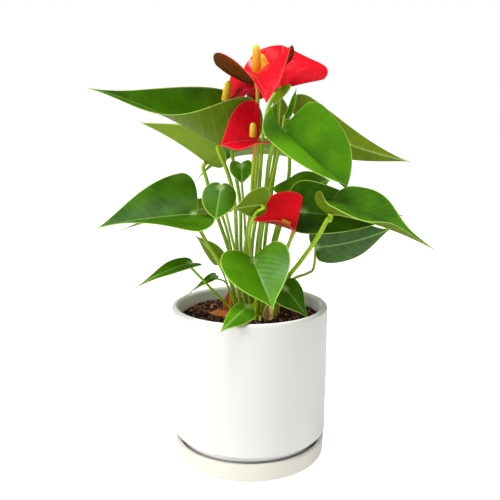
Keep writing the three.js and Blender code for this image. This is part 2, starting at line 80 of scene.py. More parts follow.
def feed(tree, socket, value):
    # colours are given without their alpha
    if isinstance(value, bpy.types.NodeSocket):
        tree.links.new(value, socket)
    elif socket.type == "RGBA":
        socket.default_value = (*value, 1)
    else:
        socket.default_value = value


def addNode(tree, kind, inputs=None, **settings):
    node = tree.nodes.new(kind)
    for key, value in settings.items():
        setattr(node, key, value)
    for key, value in (inputs or {}).items():
        feed(tree, node.inputs[key], value)
    return node


def calc(tree, operation, *values, clamp=False):
    node = addNode(tree, "ShaderNodeMath", operation=operation, use_clamp=clamp)
    for socket, value in zip(node.inputs, values):
        feed(tree, socket, value)
    return node.outputs[0]


def times(tree, first, second):
    return calc(tree, "MULTIPLY", first, second)


def vectorCalc(tree, operation, first, second=None):
    node = addNode(tree, "ShaderNodeVectorMath", {0: first}, operation=operation)
    if second is not None:
        feed(tree, node.inputs["Scale" if operation == "SCALE" else 1], second)
    return node.outputs["Value" if operation == "LENGTH" else 0]


def join(tree, x=0.0, y=0.0, z=0.0):
    return addNode(tree, "ShaderNodeCombineXYZ", {"X": x, "Y": y, "Z": z}).outputs[0]


def step(tree, value, start, end, low=0.0, high=1.0):
    # low at start and high at end, smooth between them
    inputs = {"Value": value, "From Min": start, "From Max": end, "To Min": low, "To Max": high}
    kind = "ShaderNodeMapRange"
    return addNode(tree, kind, inputs, interpolation_type="SMOOTHSTEP").outputs[0]


def mixColor(tree, share, first, second):
    node = addNode(tree, "ShaderNodeMix", data_type="RGBA")
    for index, value in ((0, share), (6, first), (7, second)):
        feed(tree, node.inputs[index], value)
    return node.outputs[2]


def mark(tree, color, mask, strength, other):
    # lays another colour over the first where the mask is bright
    return mixColor(tree, times(tree, mask, strength), color, other)


def attribute(tree, name, output="Fac"):
    return addNode(tree, "ShaderNodeAttribute", attribute_name=name).outputs[output]


def objectPlace(tree):
    return addNode(tree, "ShaderNodeTexCoord").outputs["Object"]


def noise(tree, vector, scale, detail=3.0, roughness=0.55):
    inputs = {"Vector": vector, "Scale": scale, "Detail": detail, "Roughness": roughness}
    return addNode(tree, "ShaderNodeTexNoise", inputs).outputs["Fac"]


def cells(tree, vector, scale, feature="DISTANCE_TO_EDGE"):
    inputs = {"Vector": vector, "Scale": scale}
    return addNode(tree, "ShaderNodeTexVoronoi", inputs, feature=feature).outputs["Distance"]


def stretched(tree, vector, scale):
    return addNode(tree, "ShaderNodeMapping", {"Vector": vector, "Scale": scale}).outputs[0]


def finishShader(tree, shader, color, height, bump, **values):
    # bump is its distance in metres and its strength
    feed(tree, shader.inputs["Base Color"], color)
    inputs = {"Height": height, "Distance": bump[0], "Strength": bump[1]}
    feed(tree, shader.inputs["Normal"], addNode(tree, "ShaderNodeBump", inputs).outputs[0])
    for key, value in values.items():
        feed(tree, shader.inputs[key.replace("_", " ")], value)


# Leaf and spathe finishes. Each sheet carries: flat (along, across and distance from the margin,
# in mm), vein (whole numbers fall on the side veins) and tone (0 dark to 1 bright). The tone is
# partly the sheet's own colour, young leaves paler, and partly painted light and shade: sheets
# are made brighter or darker as they look more or less lit. deep and lit hold the two colours
# of the patches at tone 0 and 1. marks lays colours over them in turn, each with its strength.
# height adds up what the bump is made of.

sheetLooks = {
    "leafUpper": {
        "veinWidth": 0.07, "patch": (38, 4), "patchEdges": (0.3, 0.7),
        "deep": ((0.014, 0.055, 0.001), (0.040, 0.125, 0.002)),
        "lit": ((0.085, 0.290, 0.001), (0.140, 0.420, 0.002)),
        "marks": {
            "side": (0.14, (0.16, 0.32, 0.03)), "rib": (0.7, (0.20, 0.38, 0.07)),
            "rim": (0.8, (0.40, 0.60, 0.09)), "joint": (0.65, (0.34, 0.50, 0.16)),
        },
        "net": (0.42, 0.0, 0.09), "grain": (0.9, 3),
        "height": {"pillow": 1.0, "net": 0.12, "grain": 0.12}, "bump": (0.0005, 0.2),
        "gloss": (140, 3), "roughness": (0.16, 0.26),
        "shader": {"Specular_IOR_Level": 0.14, "Coat_Weight": 0.25, "Coat_Roughness": 0.22},
    },
    "leafUnder": {
        "veinWidth": 0.09, "patch": (45, 4),
        "deep": ((0.066, 0.112, 0.003), (0.112, 0.176, 0.004)),
        "lit": ((0.150, 0.255, 0.003), (0.225, 0.360, 0.006)),
        "marks": {
            "side": (0.2, (0.26, 0.36, 0.06)), "rib": (0.7, (0.34, 0.46, 0.12)),
            "rim": (0.5, (0.40, 0.50, 0.14)),
        },
        "net": (0.42, 0.1, 0.0),
        "height": {"raised": 1.0, "net": 0.3}, "bump": (0.0005, 0.6),
        "roughness": (0.12, 0.5),
        "shader": {"Specular_IOR_Level": 0.09},
    },
    "spatheUpper": {
        "veinWidth": 0.1, "patch": (60, 3),
        "deep": ((0.22, 0.001, 0.004), (0.38, 0.002, 0.007)),
        "lit": ((0.70, 0.001, 0.010), (0.90, 0.004, 0.018)),
        "marks": {"rib": (0.35, (0.90, 0.10, 0.10)), "rim": (0.3, (0.90, 0.12, 0.12))},
        "net": (0.16, 0.0, 0.16), "grain": (0.14, 2), "pucker": (0.12, 0.8),
        "height": {"pillow": 0.3, "net": 0.3, "pucker": -0.8, "grain": 1.6},
        "bump": (0.0012, 0.35),
        "shader": {
            "Roughness": 0.35, "Specular_IOR_Level": 0.12, "Coat_Weight": 0.4,
            "Coat_Roughness": 0.08,
        },
    },
    "spatheUnder": {
        "veinWidth": 0.12, "patch": (60, 4),
        # deep is a dark brown-maroon, painted shade for undersides that turn away from the light
        "deep": ((0.080, 0.018, 0.001), (0.150, 0.042, 0.001)),
        "lit": ((0.42, 0.030, 0.024), (0.62, 0.070, 0.060)),
        "marks": {"raised": (0.2, (0.50, 0.10, 0.05))},
        "net": (0.22, 0.12, 0.0),
        "height": {"raised": 1.0, "net": 0.5}, "bump": (0.0006, 0.6),
        "shader": {"Roughness": 0.8, "Specular_IOR_Level": 0.03},
    },
}
# where a midrib, a rim and the pale spot at the stalk fade out and are full, in mm
maskEdges = {"rib": (1.1, 0.5), "rim": (1.1, 0.6), "joint": (6.0, 1.0)}
veinCore = 0.3  # the share of a side vein's width that is full


def sheetMasks(tree, flat, veinWidth):
    phase = calc(tree, "FRACT", attribute(tree, "vein"))
    away = calc(tree, "ABSOLUTE", calc(tree, "SUBTRACT", phase, 0.5))
    away = calc(tree, "SUBTRACT", 0.5, away)
    split = addNode(tree, "ShaderNodeSeparateXYZ", {"Vector": flat}).outputs
    reach = vectorCalc(tree, "LENGTH", vectorCalc(tree, "MULTIPLY", flat, (1, 1, 0)))
    side = step(tree, away, veinWidth, veinWidth * veinCore)
    rib = step(tree, calc(tree, "ABSOLUTE", split[1]), *maskEdges["rib"])
    return {
        "side": side,
        "rib": rib,
        "raised": calc(tree, "MAXIMUM", side, rib),
        "rim": step(tree, split[2], *maskEdges["rim"]),
        "joint": step(tree, reach, *maskEdges["joint"]),
        "pillow": calc(tree, "POWER", away, 0.5),
    }


def sheetFinish(name):
    look = sheetLooks[name]
    material, tree, shader = shaderTree(name)
    place = objectPlace(tree)
    flat = attribute(tree, "flat", "Vector")
    masks = sheetMasks(tree, flat, look["veinWidth"])
    patch = noise(tree, place, *look["patch"])
    if "patchEdges" in look:
        patch = step(tree, patch, *look["patchEdges"])
    deep = mixColor(tree, patch, *look["deep"])
    lit = mixColor(tree, patch, *look["lit"])
    # painted light and shade: the stored tone, partly each sheet's own colour, chooses between the
    # dark and the bright colour
    color = mixColor(tree, attribute(tree, "toneAndPaintedLight"), deep, lit)
    for kind, (strength, other) in look["marks"].items():
        color = mark(tree, color, masks[kind], strength, other)
    scale, start, end = look["net"]
    masks["net"] = step(tree, cells(tree, flat, scale), start, end)
    if "grain" in look:
        masks["grain"] = noise(tree, flat, *look["grain"])
    if "pucker" in look:
        scale, end = look["pucker"]
        masks["pucker"] = step(tree, cells(tree, flat, scale, "SMOOTH_F1"), 0.0, end)
    height = 0.0
    for kind, weight in look["height"].items():
        height = calc(tree, "MULTIPLY_ADD", masks[kind], weight, height)
    values = dict(look["shader"])
    if "roughness" in look:
        source = noise(tree, place, *look["gloss"]) if "gloss" in look else patch
        values["Roughness"] = calc(tree, "MULTIPLY_ADD", source, *look["roughness"])
    finishShader(tree, shader, color, height, look["bump"], **values)
    return material


sheathLook = {
    "stretch": (0.12, 1.6, 0.0), "fibre": (1.4, 4),
    "colors": ((0.30, 0.060, 0.010), (0.90, 0.30, 0.06)),
    "pale": (0.62, 0.42, 0.16), "paleTone": (0.4, 0.9), "bump": (0.0008, 0.8),
}


def sheathFinish(look):
    material, tree, shader = shaderTree("drySheath")
    flat = attribute(tree, "flat", "Vector")
    fibre = noise(tree, stretched(tree, flat, look["stretch"]), *look["fibre"])
    color = mixColor(tree, fibre, *look["colors"])
    pale = step(tree, attribute(tree, "toneAndPaintedLight"), *look["paleTone"])
    color = mixColor(tree, pale, color, look["pale"])
    values = {"Roughness": 0.7, "Specular_IOR_Level": 0.3}
    finishShader(tree, shader, color, fibre, look["bump"], **values)
    return material


# Stalks and spadix. along runs from 0 at the foot to 1 at the blade or the tip.

stalkColors = {  # of the foot, the body and the neck
    "leafStalk": ((0.48, 0.58, 0.03), (0.28, 0.47, 0.002), (0.36, 0.54, 0.006)),
    "greenFlowerStalk": ((0.42, 0.50, 0.06), (0.28, 0.48, 0.005), (0.36, 0.56, 0.015)),
    "rustyFlowerStalk": ((0.38, 0.46, 0.04), (0.29, 0.42, 0.004), (0.62, 0.14, 0.01)),
}
stalkLook = {
    "footEnd": 0.35, "neckStart": 0.87, "stretch": (1, 1, 0.08),
    "streak": (900, 3), "streakEdges": (0.45, 0.75), "streakStrength": 0.35,
    "dark": (0.03, 0.07, 0.004), "darkShare": 0.55,
    "speck": (420, 4), "speckEdges": (0.62, 0.72), "speckColor": (0.16, 0.08, 0.02),
    "speckStrength": 0.25, "bump": (0.0003, 0.5),
    "shader": {
        "Roughness": 0.38, "Specular_IOR_Level": 0.25, "Coat_Weight": 0.12,
        "Coat_Roughness": 0.3,
    },
}


def stalkFinish(name, look):
    foot, body, neck = stalkColors[name]
    material, tree, shader = shaderTree(name)
    place = objectPlace(tree)
    along = attribute(tree, "along")
    color = mixColor(tree, step(tree, along, 0.0, look["footEnd"]), foot, body)
    color = mixColor(tree, step(tree, along, look["neckStart"], 1.0), color, neck)
    streak = noise(tree, stretched(tree, place, look["stretch"]), *look["streak"])
    darker = mixColor(tree, look["darkShare"], color, look["dark"])
    shade = step(tree, streak, *look["streakEdges"])
    color = mark(tree, color, shade, look["streakStrength"], darker)
    speck = step(tree, noise(tree, place, *look["speck"]), *look["speckEdges"])
    color = mark(tree, color, speck, look["speckStrength"], look["speckColor"])
    finishShader(tree, shader, color, streak, look["bump"], **look["shader"])
    return material


spadixLook = {
    "colors": ((0.88, 0.56, 0.020), (0.94, 0.78, 0.08)),
    "tip": (0.72, 0.74, 0.06), "tipStart": 0.6, "tipStrength": 0.5,
    "grain": (900, 3), "grainColor": (0.70, 0.34, 0.005), "grainStrength": 0.25,
    "bump": (0.0003, 0.5), "shader": {"Roughness": 0.55, "Specular_IOR_Level": 0.35},
}


def spadixFinish(look):
    material, tree, shader = shaderTree("spadix")
    along = attribute(tree, "along")
    color = mixColor(tree, along, *look["colors"])
    green = step(tree, along, look["tipStart"], 1.0)
    color = mark(tree, color, green, look["tipStrength"], look["tip"])
    grain = noise(tree, objectPlace(tree), *look["grain"])
    color = mark(tree, color, grain, look["grainStrength"], look["grainColor"])
    finishShader(tree, shader, color, grain, look["bump"], **look["shader"])
    return material


# Glazes, and the loose finishes of the potting mix. inside is the colour nearer the axis; on the
# pot it is painted light, a far paler glaze that lifts the shade on the inner wall and rim top.

glazes = {
    "glaze": {
        # the pot's inside colour is painted light: paler than its outside so the shaded inner wall
        # and rim top look lit
        "pale": (0.63, 0.63, 0.60), "warm": (0.60, 0.59, 0.56), "inside": (0.97, 0.97, 0.95),
        "roughness": 0.36,
    },
    "saucerGlaze": {
        "pale": (0.64, 0.62, 0.55), "warm": (0.60, 0.58, 0.51), "inside": (0.62, 0.60, 0.53),
        "roughness": 0.5,
    },
}
glazeLook = {
    "cloud": (14, 3), "paintedLightEdges": (0.0742, 0.0722),
    "speck": (520, 2), "speckEdges": (0.70, 0.76), "speckColor": (0.45, 0.40, 0.32),
    "speckStrength": 0.06, "grain": (260, 4), "roughSpread": 0.14,
    "ripple": (30, 2), "grainShare": 0.1, "bump": (0.0006, 0.35),
}


def glazeFinish(name, look):
    glaze = glazes[name]
    material, tree, shader = shaderTree(name)
    place = objectPlace(tree)
    cloud = noise(tree, place, *look["cloud"])
    color = mixColor(tree, cloud, glaze["pale"], glaze["warm"])
    radius = vectorCalc(tree, "LENGTH", vectorCalc(tree, "MULTIPLY", place, (1, 1, 0)))
    # painted light: nearer the axis than these edges the glaze turns to the inside colour, on the
    # pot far paler to lift the shade
    color = mixColor(tree, step(tree, radius, *look["paintedLightEdges"]), color, glaze["inside"])
    speck = step(tree, noise(tree, place, *look["speck"]), *look["speckEdges"])
    color = mark(tree, color, speck, look["speckStrength"], look["speckColor"])
    grain = noise(tree, place, *look["grain"])
    rough = calc(tree, "MULTIPLY_ADD", grain, look["roughSpread"], glaze["roughness"])
    ripple = noise(tree, place, *look["ripple"])
    ripple = calc(tree, "MULTIPLY_ADD", grain, look["grainShare"], ripple)
    values = {"Roughness": rough, "Specular_IOR_Level": 0.4}
    finishShader(tree, shader, color, ripple, look["bump"], **values)
    return material


grounds = {
    "mix": {
        "name": "pottingMix", "dark": (0.010, 0.004, 0.003), "light": (0.120, 0.050, 0.028),
        "scale": 300, "roughness": 0.92,
    },
    "bark": {
        "name": "bark", "dark": (0.30, 0.10, 0.05), "light": (0.74, 0.40, 0.24),
        "scale": 420, "roughness": 0.92,
    },
    "grit": {
        "name": "grit", "dark": (0.50, 0.44, 0.34), "light": (0.86, 0.80, 0.68),
        "scale": 500, "roughness": 0.8,
    },
}
groundLook = {
    "blotch": (5, 0.7), "blotchEdges": (0.35, 0.7), "finer": 5, "fineStrength": 0.4,
    "bump": (0.0008, 0.9),
}


def groundFinish(ground, look):
    material, tree, shader = shaderTree(ground["name"])
    place = objectPlace(tree)
    blotch = noise(tree, place, ground["scale"], *look["blotch"])
    blotch = step(tree, blotch, *look["blotchEdges"])
    color = mixColor(tree, blotch, ground["dark"], ground["light"])
    fine = noise(tree, place, ground["scale"] * look["finer"], 3)
    color = mark(tree, color, fine, look["fineStrength"], ground["dark"])
    height = calc(tree, "ADD", blotch, fine)
    values = {"Roughness": ground["roughness"], "Specular_IOR_Level": 0.25}
    finishShader(tree, shader, color, height, look["bump"], **values)
    return material


finishes = {"sheath": sheathFinish(sheathLook), "spadix": spadixFinish(spadixLook)}
finishes |= {name: sheetFinish(name) for name in sheetLooks}
finishes |= {name: stalkFinish(name, stalkLook) for name in stalkColors}
finishes |= {name: glazeFinish(name, glazeLook) for name in glazes}
finishes |= {name: groundFinish(ground, groundLook) for name, ground in grounds.items()}
print("finishes made")

# Placing pieces


def addPiece(name, mesh, node):
    piece = bpy.data.objects.new(name, mesh)
    scene.collection.objects.link(piece)
    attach(piece, "root")
    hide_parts(node)
    return piece


def settle(points, node):
    # moves the points so that the middle of their box is the middle of the CAD node's box
    low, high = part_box(node)
    middle = (np.array(low) + np.array(high)) / 2
    return points + middle - (points.min(0) + points.max(0)) / 2


def plainMesh(name, points, faces, smooth=True):
    mesh = bpy.data.meshes.new(name)
    mesh.from_pydata([tuple(p) for p in points], [], faces)
    mesh.polygons.foreach_set("use_smooth", [smooth] * len(mesh.polygons))
    mesh.update()
    return mesh


def addSource(name, data):
    source = bpy.data.objects.new(name, data)
    scene.collection.objects.link(source)
    return source


def bake(source, name):
    # the evaluated object as a plain mesh of its own
    depsgraph = bpy.context.evaluated_depsgraph_get()
    mesh = bpy.data.meshes.new_from_object(source.evaluated_get(depsgraph))
    mesh.name = name
    data = source.data
    bpy.data.objects.remove(source)
    if isinstance(data, bpy.types.Curve):
        bpy.data.curves.remove(data)
    else:
        bpy.data.meshes.remove(data)
    return mesh


def addNodes(source, group, values):
    modifier = source.modifiers.new(group.name, "NODES")
    modifier.node_group = group
    for item in group.interface.items_tree:
        if item.item_type == "SOCKET" and item.in_out == "INPUT" and item.name in values:
            modifier[item.identifier] = values[item.name]


def nodeGroup(name, inputs):
    group = bpy.data.node_groups.new(name, "GeometryNodeTree")
    sockets = [("Geometry", "Geometry", "INPUT"), *((*item, "INPUT") for item in inputs.items())]
    for label, kind, way in [*sockets, ("Geometry", "Geometry", "OUTPUT")]:
        group.interface.new_socket(label, in_out=way, socket_type="NodeSocket" + kind)
    return group, group.nodes.new("NodeGroupInput").outputs


def storeAlong(group, geometry, value):
    inputs = {"Geometry": geometry, "Name": "along", "Value": value}
    kind = "GeometryNodeStoreNamedAttribute"
    return addNode(group, kind, inputs, data_type="FLOAT", domain="POINT").outputs[0]


def tubeAlong(group, curve, along, size, sides):
    # a closed tube as wide at each point as size says, which keeps how far along it is
    kept = storeAlong(group, curve, along)
    inputs = {"Curve": kept, "Radius": size}
    shaped = addNode(group, "GeometryNodeSetCurveRadius", inputs).outputs[0]
    inputs = {"Resolution": sides, "Radius": 1.0}
    ring = addNode(group, "GeometryNodeCurvePrimitiveCircle", inputs).outputs[0]
    inputs = {"Curve": shaped, "Profile Curve": ring, "Fill Caps": True}
    tube = addNode(group, "GeometryNodeCurveToMesh", inputs)
    if "Scale" in tube.inputs:
        feed(group, tube.inputs["Scale"], size)
    return tube.outputs[0]


def realize(group, geometry):
    return addNode(group, "GeometryNodeRealizeInstances", {"Geometry": geometry}).outputs[0]


def closeGroup(group, geometry, finish, smooth=True):
    if smooth:
        geometry = addNode(group, "GeometryNodeSetShadeSmooth", {"Geometry": geometry}).outputs[0]
    inputs = {"Geometry": realize(group, geometry), "Material": finish}
    done = addNode(group, "GeometryNodeSetMaterial", inputs).outputs[0]
    group.links.new(done, group.nodes.new("NodeGroupOutput").inputs[0])
    return group


# Blades: a heart-shaped sheet laid flat, then folded, curled, drooped, lifted and twisted. The
# values mean the same as in the CAD source, and these hold where a table leaves them out. tone is
# brightness, partly the sheet's own colour and partly painted light and shade,
# underToneAndPaintedLight that of the underside, and wave the ripple of the margin.

sheetDetail = {"margin": (34, 18, 14), "rings": 34}
smallDetail = {"margin": (20, 10, 8), "rings": 18}
smallWidth = 40
notch = 2.0
sheetDefaults = {
    "lobe": (1, 1), "fold": (10, 10), "curl": (-10, -10), "droop": 0, "lift": (0, 0),
    "twist": 0, "sway": 0, "outline": (0.06, 0.3, 0.42), "spread": (0.52, 0.52),
    "toneAndPaintedLight": 0.3, "wave": 0.4,
}

# each row's tone is partly painted light: leaves that look lit are made brighter, leaves in shade
# darker
leaves = {
    "upper_left": {
        "attach": (-27, 4, 300), "tip": (-133, -64, 350), "face": (-0.03, 0.35, 0.94),
        "width": 128, "lobe": (27, 14), "fold": (-11, 61), "curl": (71, 52), "droop": 38,
        "lift": (14, 10), "twist": -57, "sway": 39, "outline": (0.0, 0.51, 0.2), "stalk": 1.9,
        "route": [(-3, 0, 139), (-11, 0, 190), (-14, 0, 245), (-20, 2, 273)],
    },
    "left_back": {
        "attach": (-43, 39, 282), "tip": (-111, 63, 321), "face": (-0.0, -0.02, 1.0), "width": 79,
        "lobe": (24, 16), "fold": (49, 46), "curl": (7, 0), "droop": 13, "lift": (10, 10),
        "sway": 3, "outline": (0.0, 0.16, 0.35), "toneAndPaintedLight": 0.5, "stalk": 1.9,
        "route": [(-8, 9, 139), (-19, 14, 194), (-33, 22, 235), (-42, 27, 266)],
    },
    "centre_back": {
        "attach": (43, 64, 291), "tip": (-57, 78, 260), "face": (0, 0.35, 1), "width": 71,
        "lobe": (22, 22), "fold": (5, 10), "droop": 75, "toneAndPaintedLight": 0.4, "stalk": 1.9,
        "route": [(20, 17, 139), (22, 30, 196), (34, 50, 239), (40, 58, 268)],
    },
    "upper_right": {
        "attach": (27, -30, 315), "tip": (84, -33, 264), "face": (0.34, -0.49, 0.8), "width": 100,
        "lobe": (1, 60), "fold": (63, 37), "curl": (-62, -46), "droop": 1, "lift": (-7, 124),
        "twist": -7, "sway": 15, "outline": (0.14, 0.02, 0.7), "spread": (0.69, 0.2),
        "toneAndPaintedLight": 0.65, "stalk": 2.0,
        "route": [(12, -5, 139), (7, -6, 198), (14, -10, 251), (18, -20, 288)],
    },
    "right_back": {
        "attach": (52, 38, 320), "tip": (166, 69, 281), "face": (0.07, 0.99, 0.11), "width": 58,
        "lobe": (20, 20), "fold": (36, 33), "curl": (8, -8), "droop": 18, "twist": -23,
        "sway": -18, "outline": (0.0, 0.17, 0.38), "toneAndPaintedLight": 0.4, "stalk": 1.8,
        "route": [(15, 8, 139), (14, 14, 194), (20, 18, 247), (27, 18, 291), (39, 26, 309)],
    },
    "right": {
        "attach": (73, -32, 241), "tip": (166, -59, 210), "face": (0.0, 0.08, 1.0), "width": 100,
        "lobe": (1, 29), "fold": (26, 50), "curl": (5, -80), "droop": 20, "lift": (21, 61),
        "twist": 25, "sway": -17, "outline": (0.15, 0.56, 0.39), "spread": (0.32, 0.32),
        "toneAndPaintedLight": 0.2, "stalk": 2.1,
        "route": [(24, -9, 139), (36, -7, 175), (47, -19, 194), (61, -33, 219), (70, -34, 236)],
    },
    "lower_right": {
        "attach": (64, 8, 203), "tip": (142, 22, 221), "face": (0.02, -0.99, -0.14), "width": 49,
        "lobe": (6, 1), "fold": (4, -16), "curl": (-16, -17), "droop": 35, "lift": (0, -13),
        "twist": -2, "sway": 11, "outline": (0.23, 0.3, 0.44), "spread": (0.45, 0.45),
        "toneAndPaintedLight": 0.05, "stalk": 1.4,
        "route": [(28, 2, 139), (40, 4, 170), (56, 11, 176), (63, 18, 180)],
    },
    "middle_back": {
        "attach": (39, 29, 253), "tip": (79, 25, 266), "face": (-0.04, -0.7, 0.71), "width": 56,
        "lobe": (16, 13), "fold": (-7, 24), "curl": (-28, 4), "droop": 20, "lift": (8, 0),
        "twist": 21, "sway": 5, "outline": (0.13, 0.13, 0.45), "toneAndPaintedLight": 0.25, "stalk": 1.5,
        "route": [(20, 8, 139), (22, 13, 187), (29, 18, 218)],
    },
    "middle_right": {
        "attach": (51, -1, 238), "tip": (147, 6, 234), "face": (-0.0, -0.88, 0.48), "width": 62,
        "lobe": (16, 13), "fold": (17, 31), "curl": (-7, -3), "droop": 9, "lift": (0, -3),
        "twist": -11, "sway": 18, "outline": (0.01, 0.11, 0.37), "spread": (0.53, 0.53),
        "toneAndPaintedLight": 0.12, "stalk": 1.7, "route": [(26, 8, 139), (28, 6, 181), (39, 2, 211)],
    },
    "left": {
        "attach": (-50, -25, 239), "tip": (-135, -50, 230), "face": (-0.02, -0.43, 0.9),
        "width": 98, "lobe": (17, 4), "fold": (20, 34), "curl": (-12, -19), "droop": 1,
        "lift": (6, -3), "twist": 19, "sway": 16, "outline": (0.09, 0.19, 0.32),
        "spread": (0.39, 0.39), "toneAndPaintedLight": 0.15, "stalk": 1.8,
        "route": [(-12, -7, 139), (-17, -12, 171), (-29, -18, 195), (-40, -23, 214)],
    },
    "left_rear": {
        "attach": (-28, 2, 243), "tip": (-128, -8, 219), "face": (0, 0.6, 0.8), "width": 34,
        "lobe": (12, 12), "droop": 20, "outline": (0.06, 0.45, 0.42), "spread": (0.5, 0.5),
        "toneAndPaintedLight": 0.2, "joined": True, "stalk": 1.4,
        "route": [(-9, 2, 139), (-16, 4, 191), (-22, 6, 220)],
    },
    "round": {
        "attach": (-26, -27, 264), "tip": (-30, -45, 237), "face": (0, -1, 0.35), "width": 31,
        "lobe": (5, 5), "fold": (6, 6), "curl": (-15, -15), "droop": 14,
        "outline": (0.3, 0.06, 0.5), "spread": (0.2, 0.2), "toneAndPaintedLight": 0.12, "stalk": 1.3,
        "route": [(-8, -5, 139), (-12, -10, 192), (-18, -16, 223)],
    },
    "young": {
        "attach": (-8, -2, 282), "tip": (-7, -14, 265), "face": (0, -1, 0.5), "width": 22,
        "lobe": (5, 5), "fold": (12, 12), "droop": 14, "outline": (0.15, 0.16, 0.5),
        "spread": (0.6, 0.6), "toneAndPaintedLight": 0.35, "stalk": 1.2,
        "route": [(3, 6, 139), (-3, 6, 200), (-5, 4, 235), (-7, 3, 259)],
    },
    "bronze": {
        "attach": (11, -50, 251), "tip": (-16, -60, 248), "face": (0.1, 0.8, 0.6), "width": 37,
        "lobe": (6, 6), "fold": (16, 16), "droop": 16, "stalk": 1.4,
        "route": [(7, -12, 139), (1, -22, 198), (0, -38, 225), (5, -47, 243)],
    },
    "front": {
        "attach": (3, -42, 199), "tip": (21, -70, 161), "face": (0.04, -0.81, 0.58), "width": 68,
        "lobe": (7, 13), "fold": (22, 34), "curl": (6, -17), "droop": 14, "lift": (-9, 7),
        "twist": 2, "sway": 4, "outline": (0.11, 0.22, 0.5), "spread": (0.6, 0.6), "toneAndPaintedLight": 0.5,
        "stalk": 1.7, "route": [(5, -21, 139), (7, -24, 165), (6, -34, 185)],
    },
    "over_rim": {
        "attach": (0, -60, 163), "tip": (-25, -89, 147), "face": (0.07, -0.67, 0.74), "width": 23,
        "lobe": (1, 2), "fold": (-11, -14), "curl": (-20, -17), "droop": 21, "lift": (2, -1),
        "twist": 4, "sway": 1, "outline": (0.13, 0.18, 0.42), "toneAndPaintedLight": 0.5, "stalk": 1.3,
        "route": [(10, -23, 139), (7, -36, 151), (6, -48, 162)],
    },
    "front_right": {
        "attach": (31, -28, 171), "tip": (54, -38, 142), "face": (0.47, -0.65, 0.6), "width": 38,
        "lobe": (7, 10), "fold": (1, 2), "curl": (-7, -15), "droop": 22, "lift": (-5, 0),
        "twist": -6, "sway": 3, "outline": (0.03, 0.35, 0.4), "spread": (0.49, 0.49),
        "toneAndPaintedLight": 0.15, "stalk": 1.5, "route": [(21, -16, 139), (24, -17, 160), (28, -19, 168)],
    },
    "lower_left": {
        "attach": (-53, -32, 195), "tip": (-104, -63, 176), "face": (-0.06, -0.69, 0.72),
        "width": 25, "lobe": (7, 4), "fold": (28, -9), "curl": (8, -7), "droop": 32,
        "lift": (0, -2), "twist": -20, "sway": 5, "outline": (0.05, 0.49, 0.34),
        "spread": (0.49, 0.49), "toneAndPaintedLight": 0.2, "stalk": 1.3,
        "route": [(-15, -15, 139), (-29, -20, 161), (-41, -26, 176)],
    },
    "seedling": {
        "attach": (-33, -14, 179), "tip": (-62, -30, 161), "face": (0, -0.7, 0.7), "width": 9,
        "lobe": (3, 3), "fold": (20, 20), "droop": 30, "outline": (0.06, 0.62, 0.25),
        "spread": (0.5, 0.5), "toneAndPaintedLight": 0.2, "joined": True, "stalk": 0.9,
        "route": [(-9, -13, 139), (-19, -13, 166), (-24, -13, 174)],
    },
    "faded": {
        "attach": (-32, 14, 191), "tip": (-55, 22, 213), "face": (0, 1, 0.5), "width": 20,
        "lobe": (5, 5), "fold": (18, 18), "droop": 20, "joined": True, "stalk": 0.9,
        "route": [(-15, 8, 139), (-25, 12, 174)],
    },
    "spear": {
        "attach": (33, 0, 325), "tip": (43, 0, 352), "face": (0.3, -1, 0), "width": 12,
        "fold": (40, 40), "curl": (40, 40), "droop": 8, "outline": (0.3, 0.2, 0.35),
        "spread": (0.2, 0.2), "toneAndPaintedLight": 1.0, "joined": True, "stalk": 1.2,
        "route": [(13, 1, 139), (10, 2, 196), (17, -2, 250), (27, -2, 296)],
    },
    "unfurling": {
        "attach": (27, 8, 314), "tip": (29, 10, 347), "face": (0.2, 1, 0), "width": 20,
        "lobe": (2, 2), "fold": (20, 20), "droop": 12, "outline": (0.3, 0.1, 0.4),
        "spread": (0.2, 0.2), "toneAndPaintedLight": 0.5, "joined": True, "stalk": 1.3,
        "route": [(9, 3, 139), (6, 6, 195), (16, 8, 248), (23, 9, 286)],
    },
}

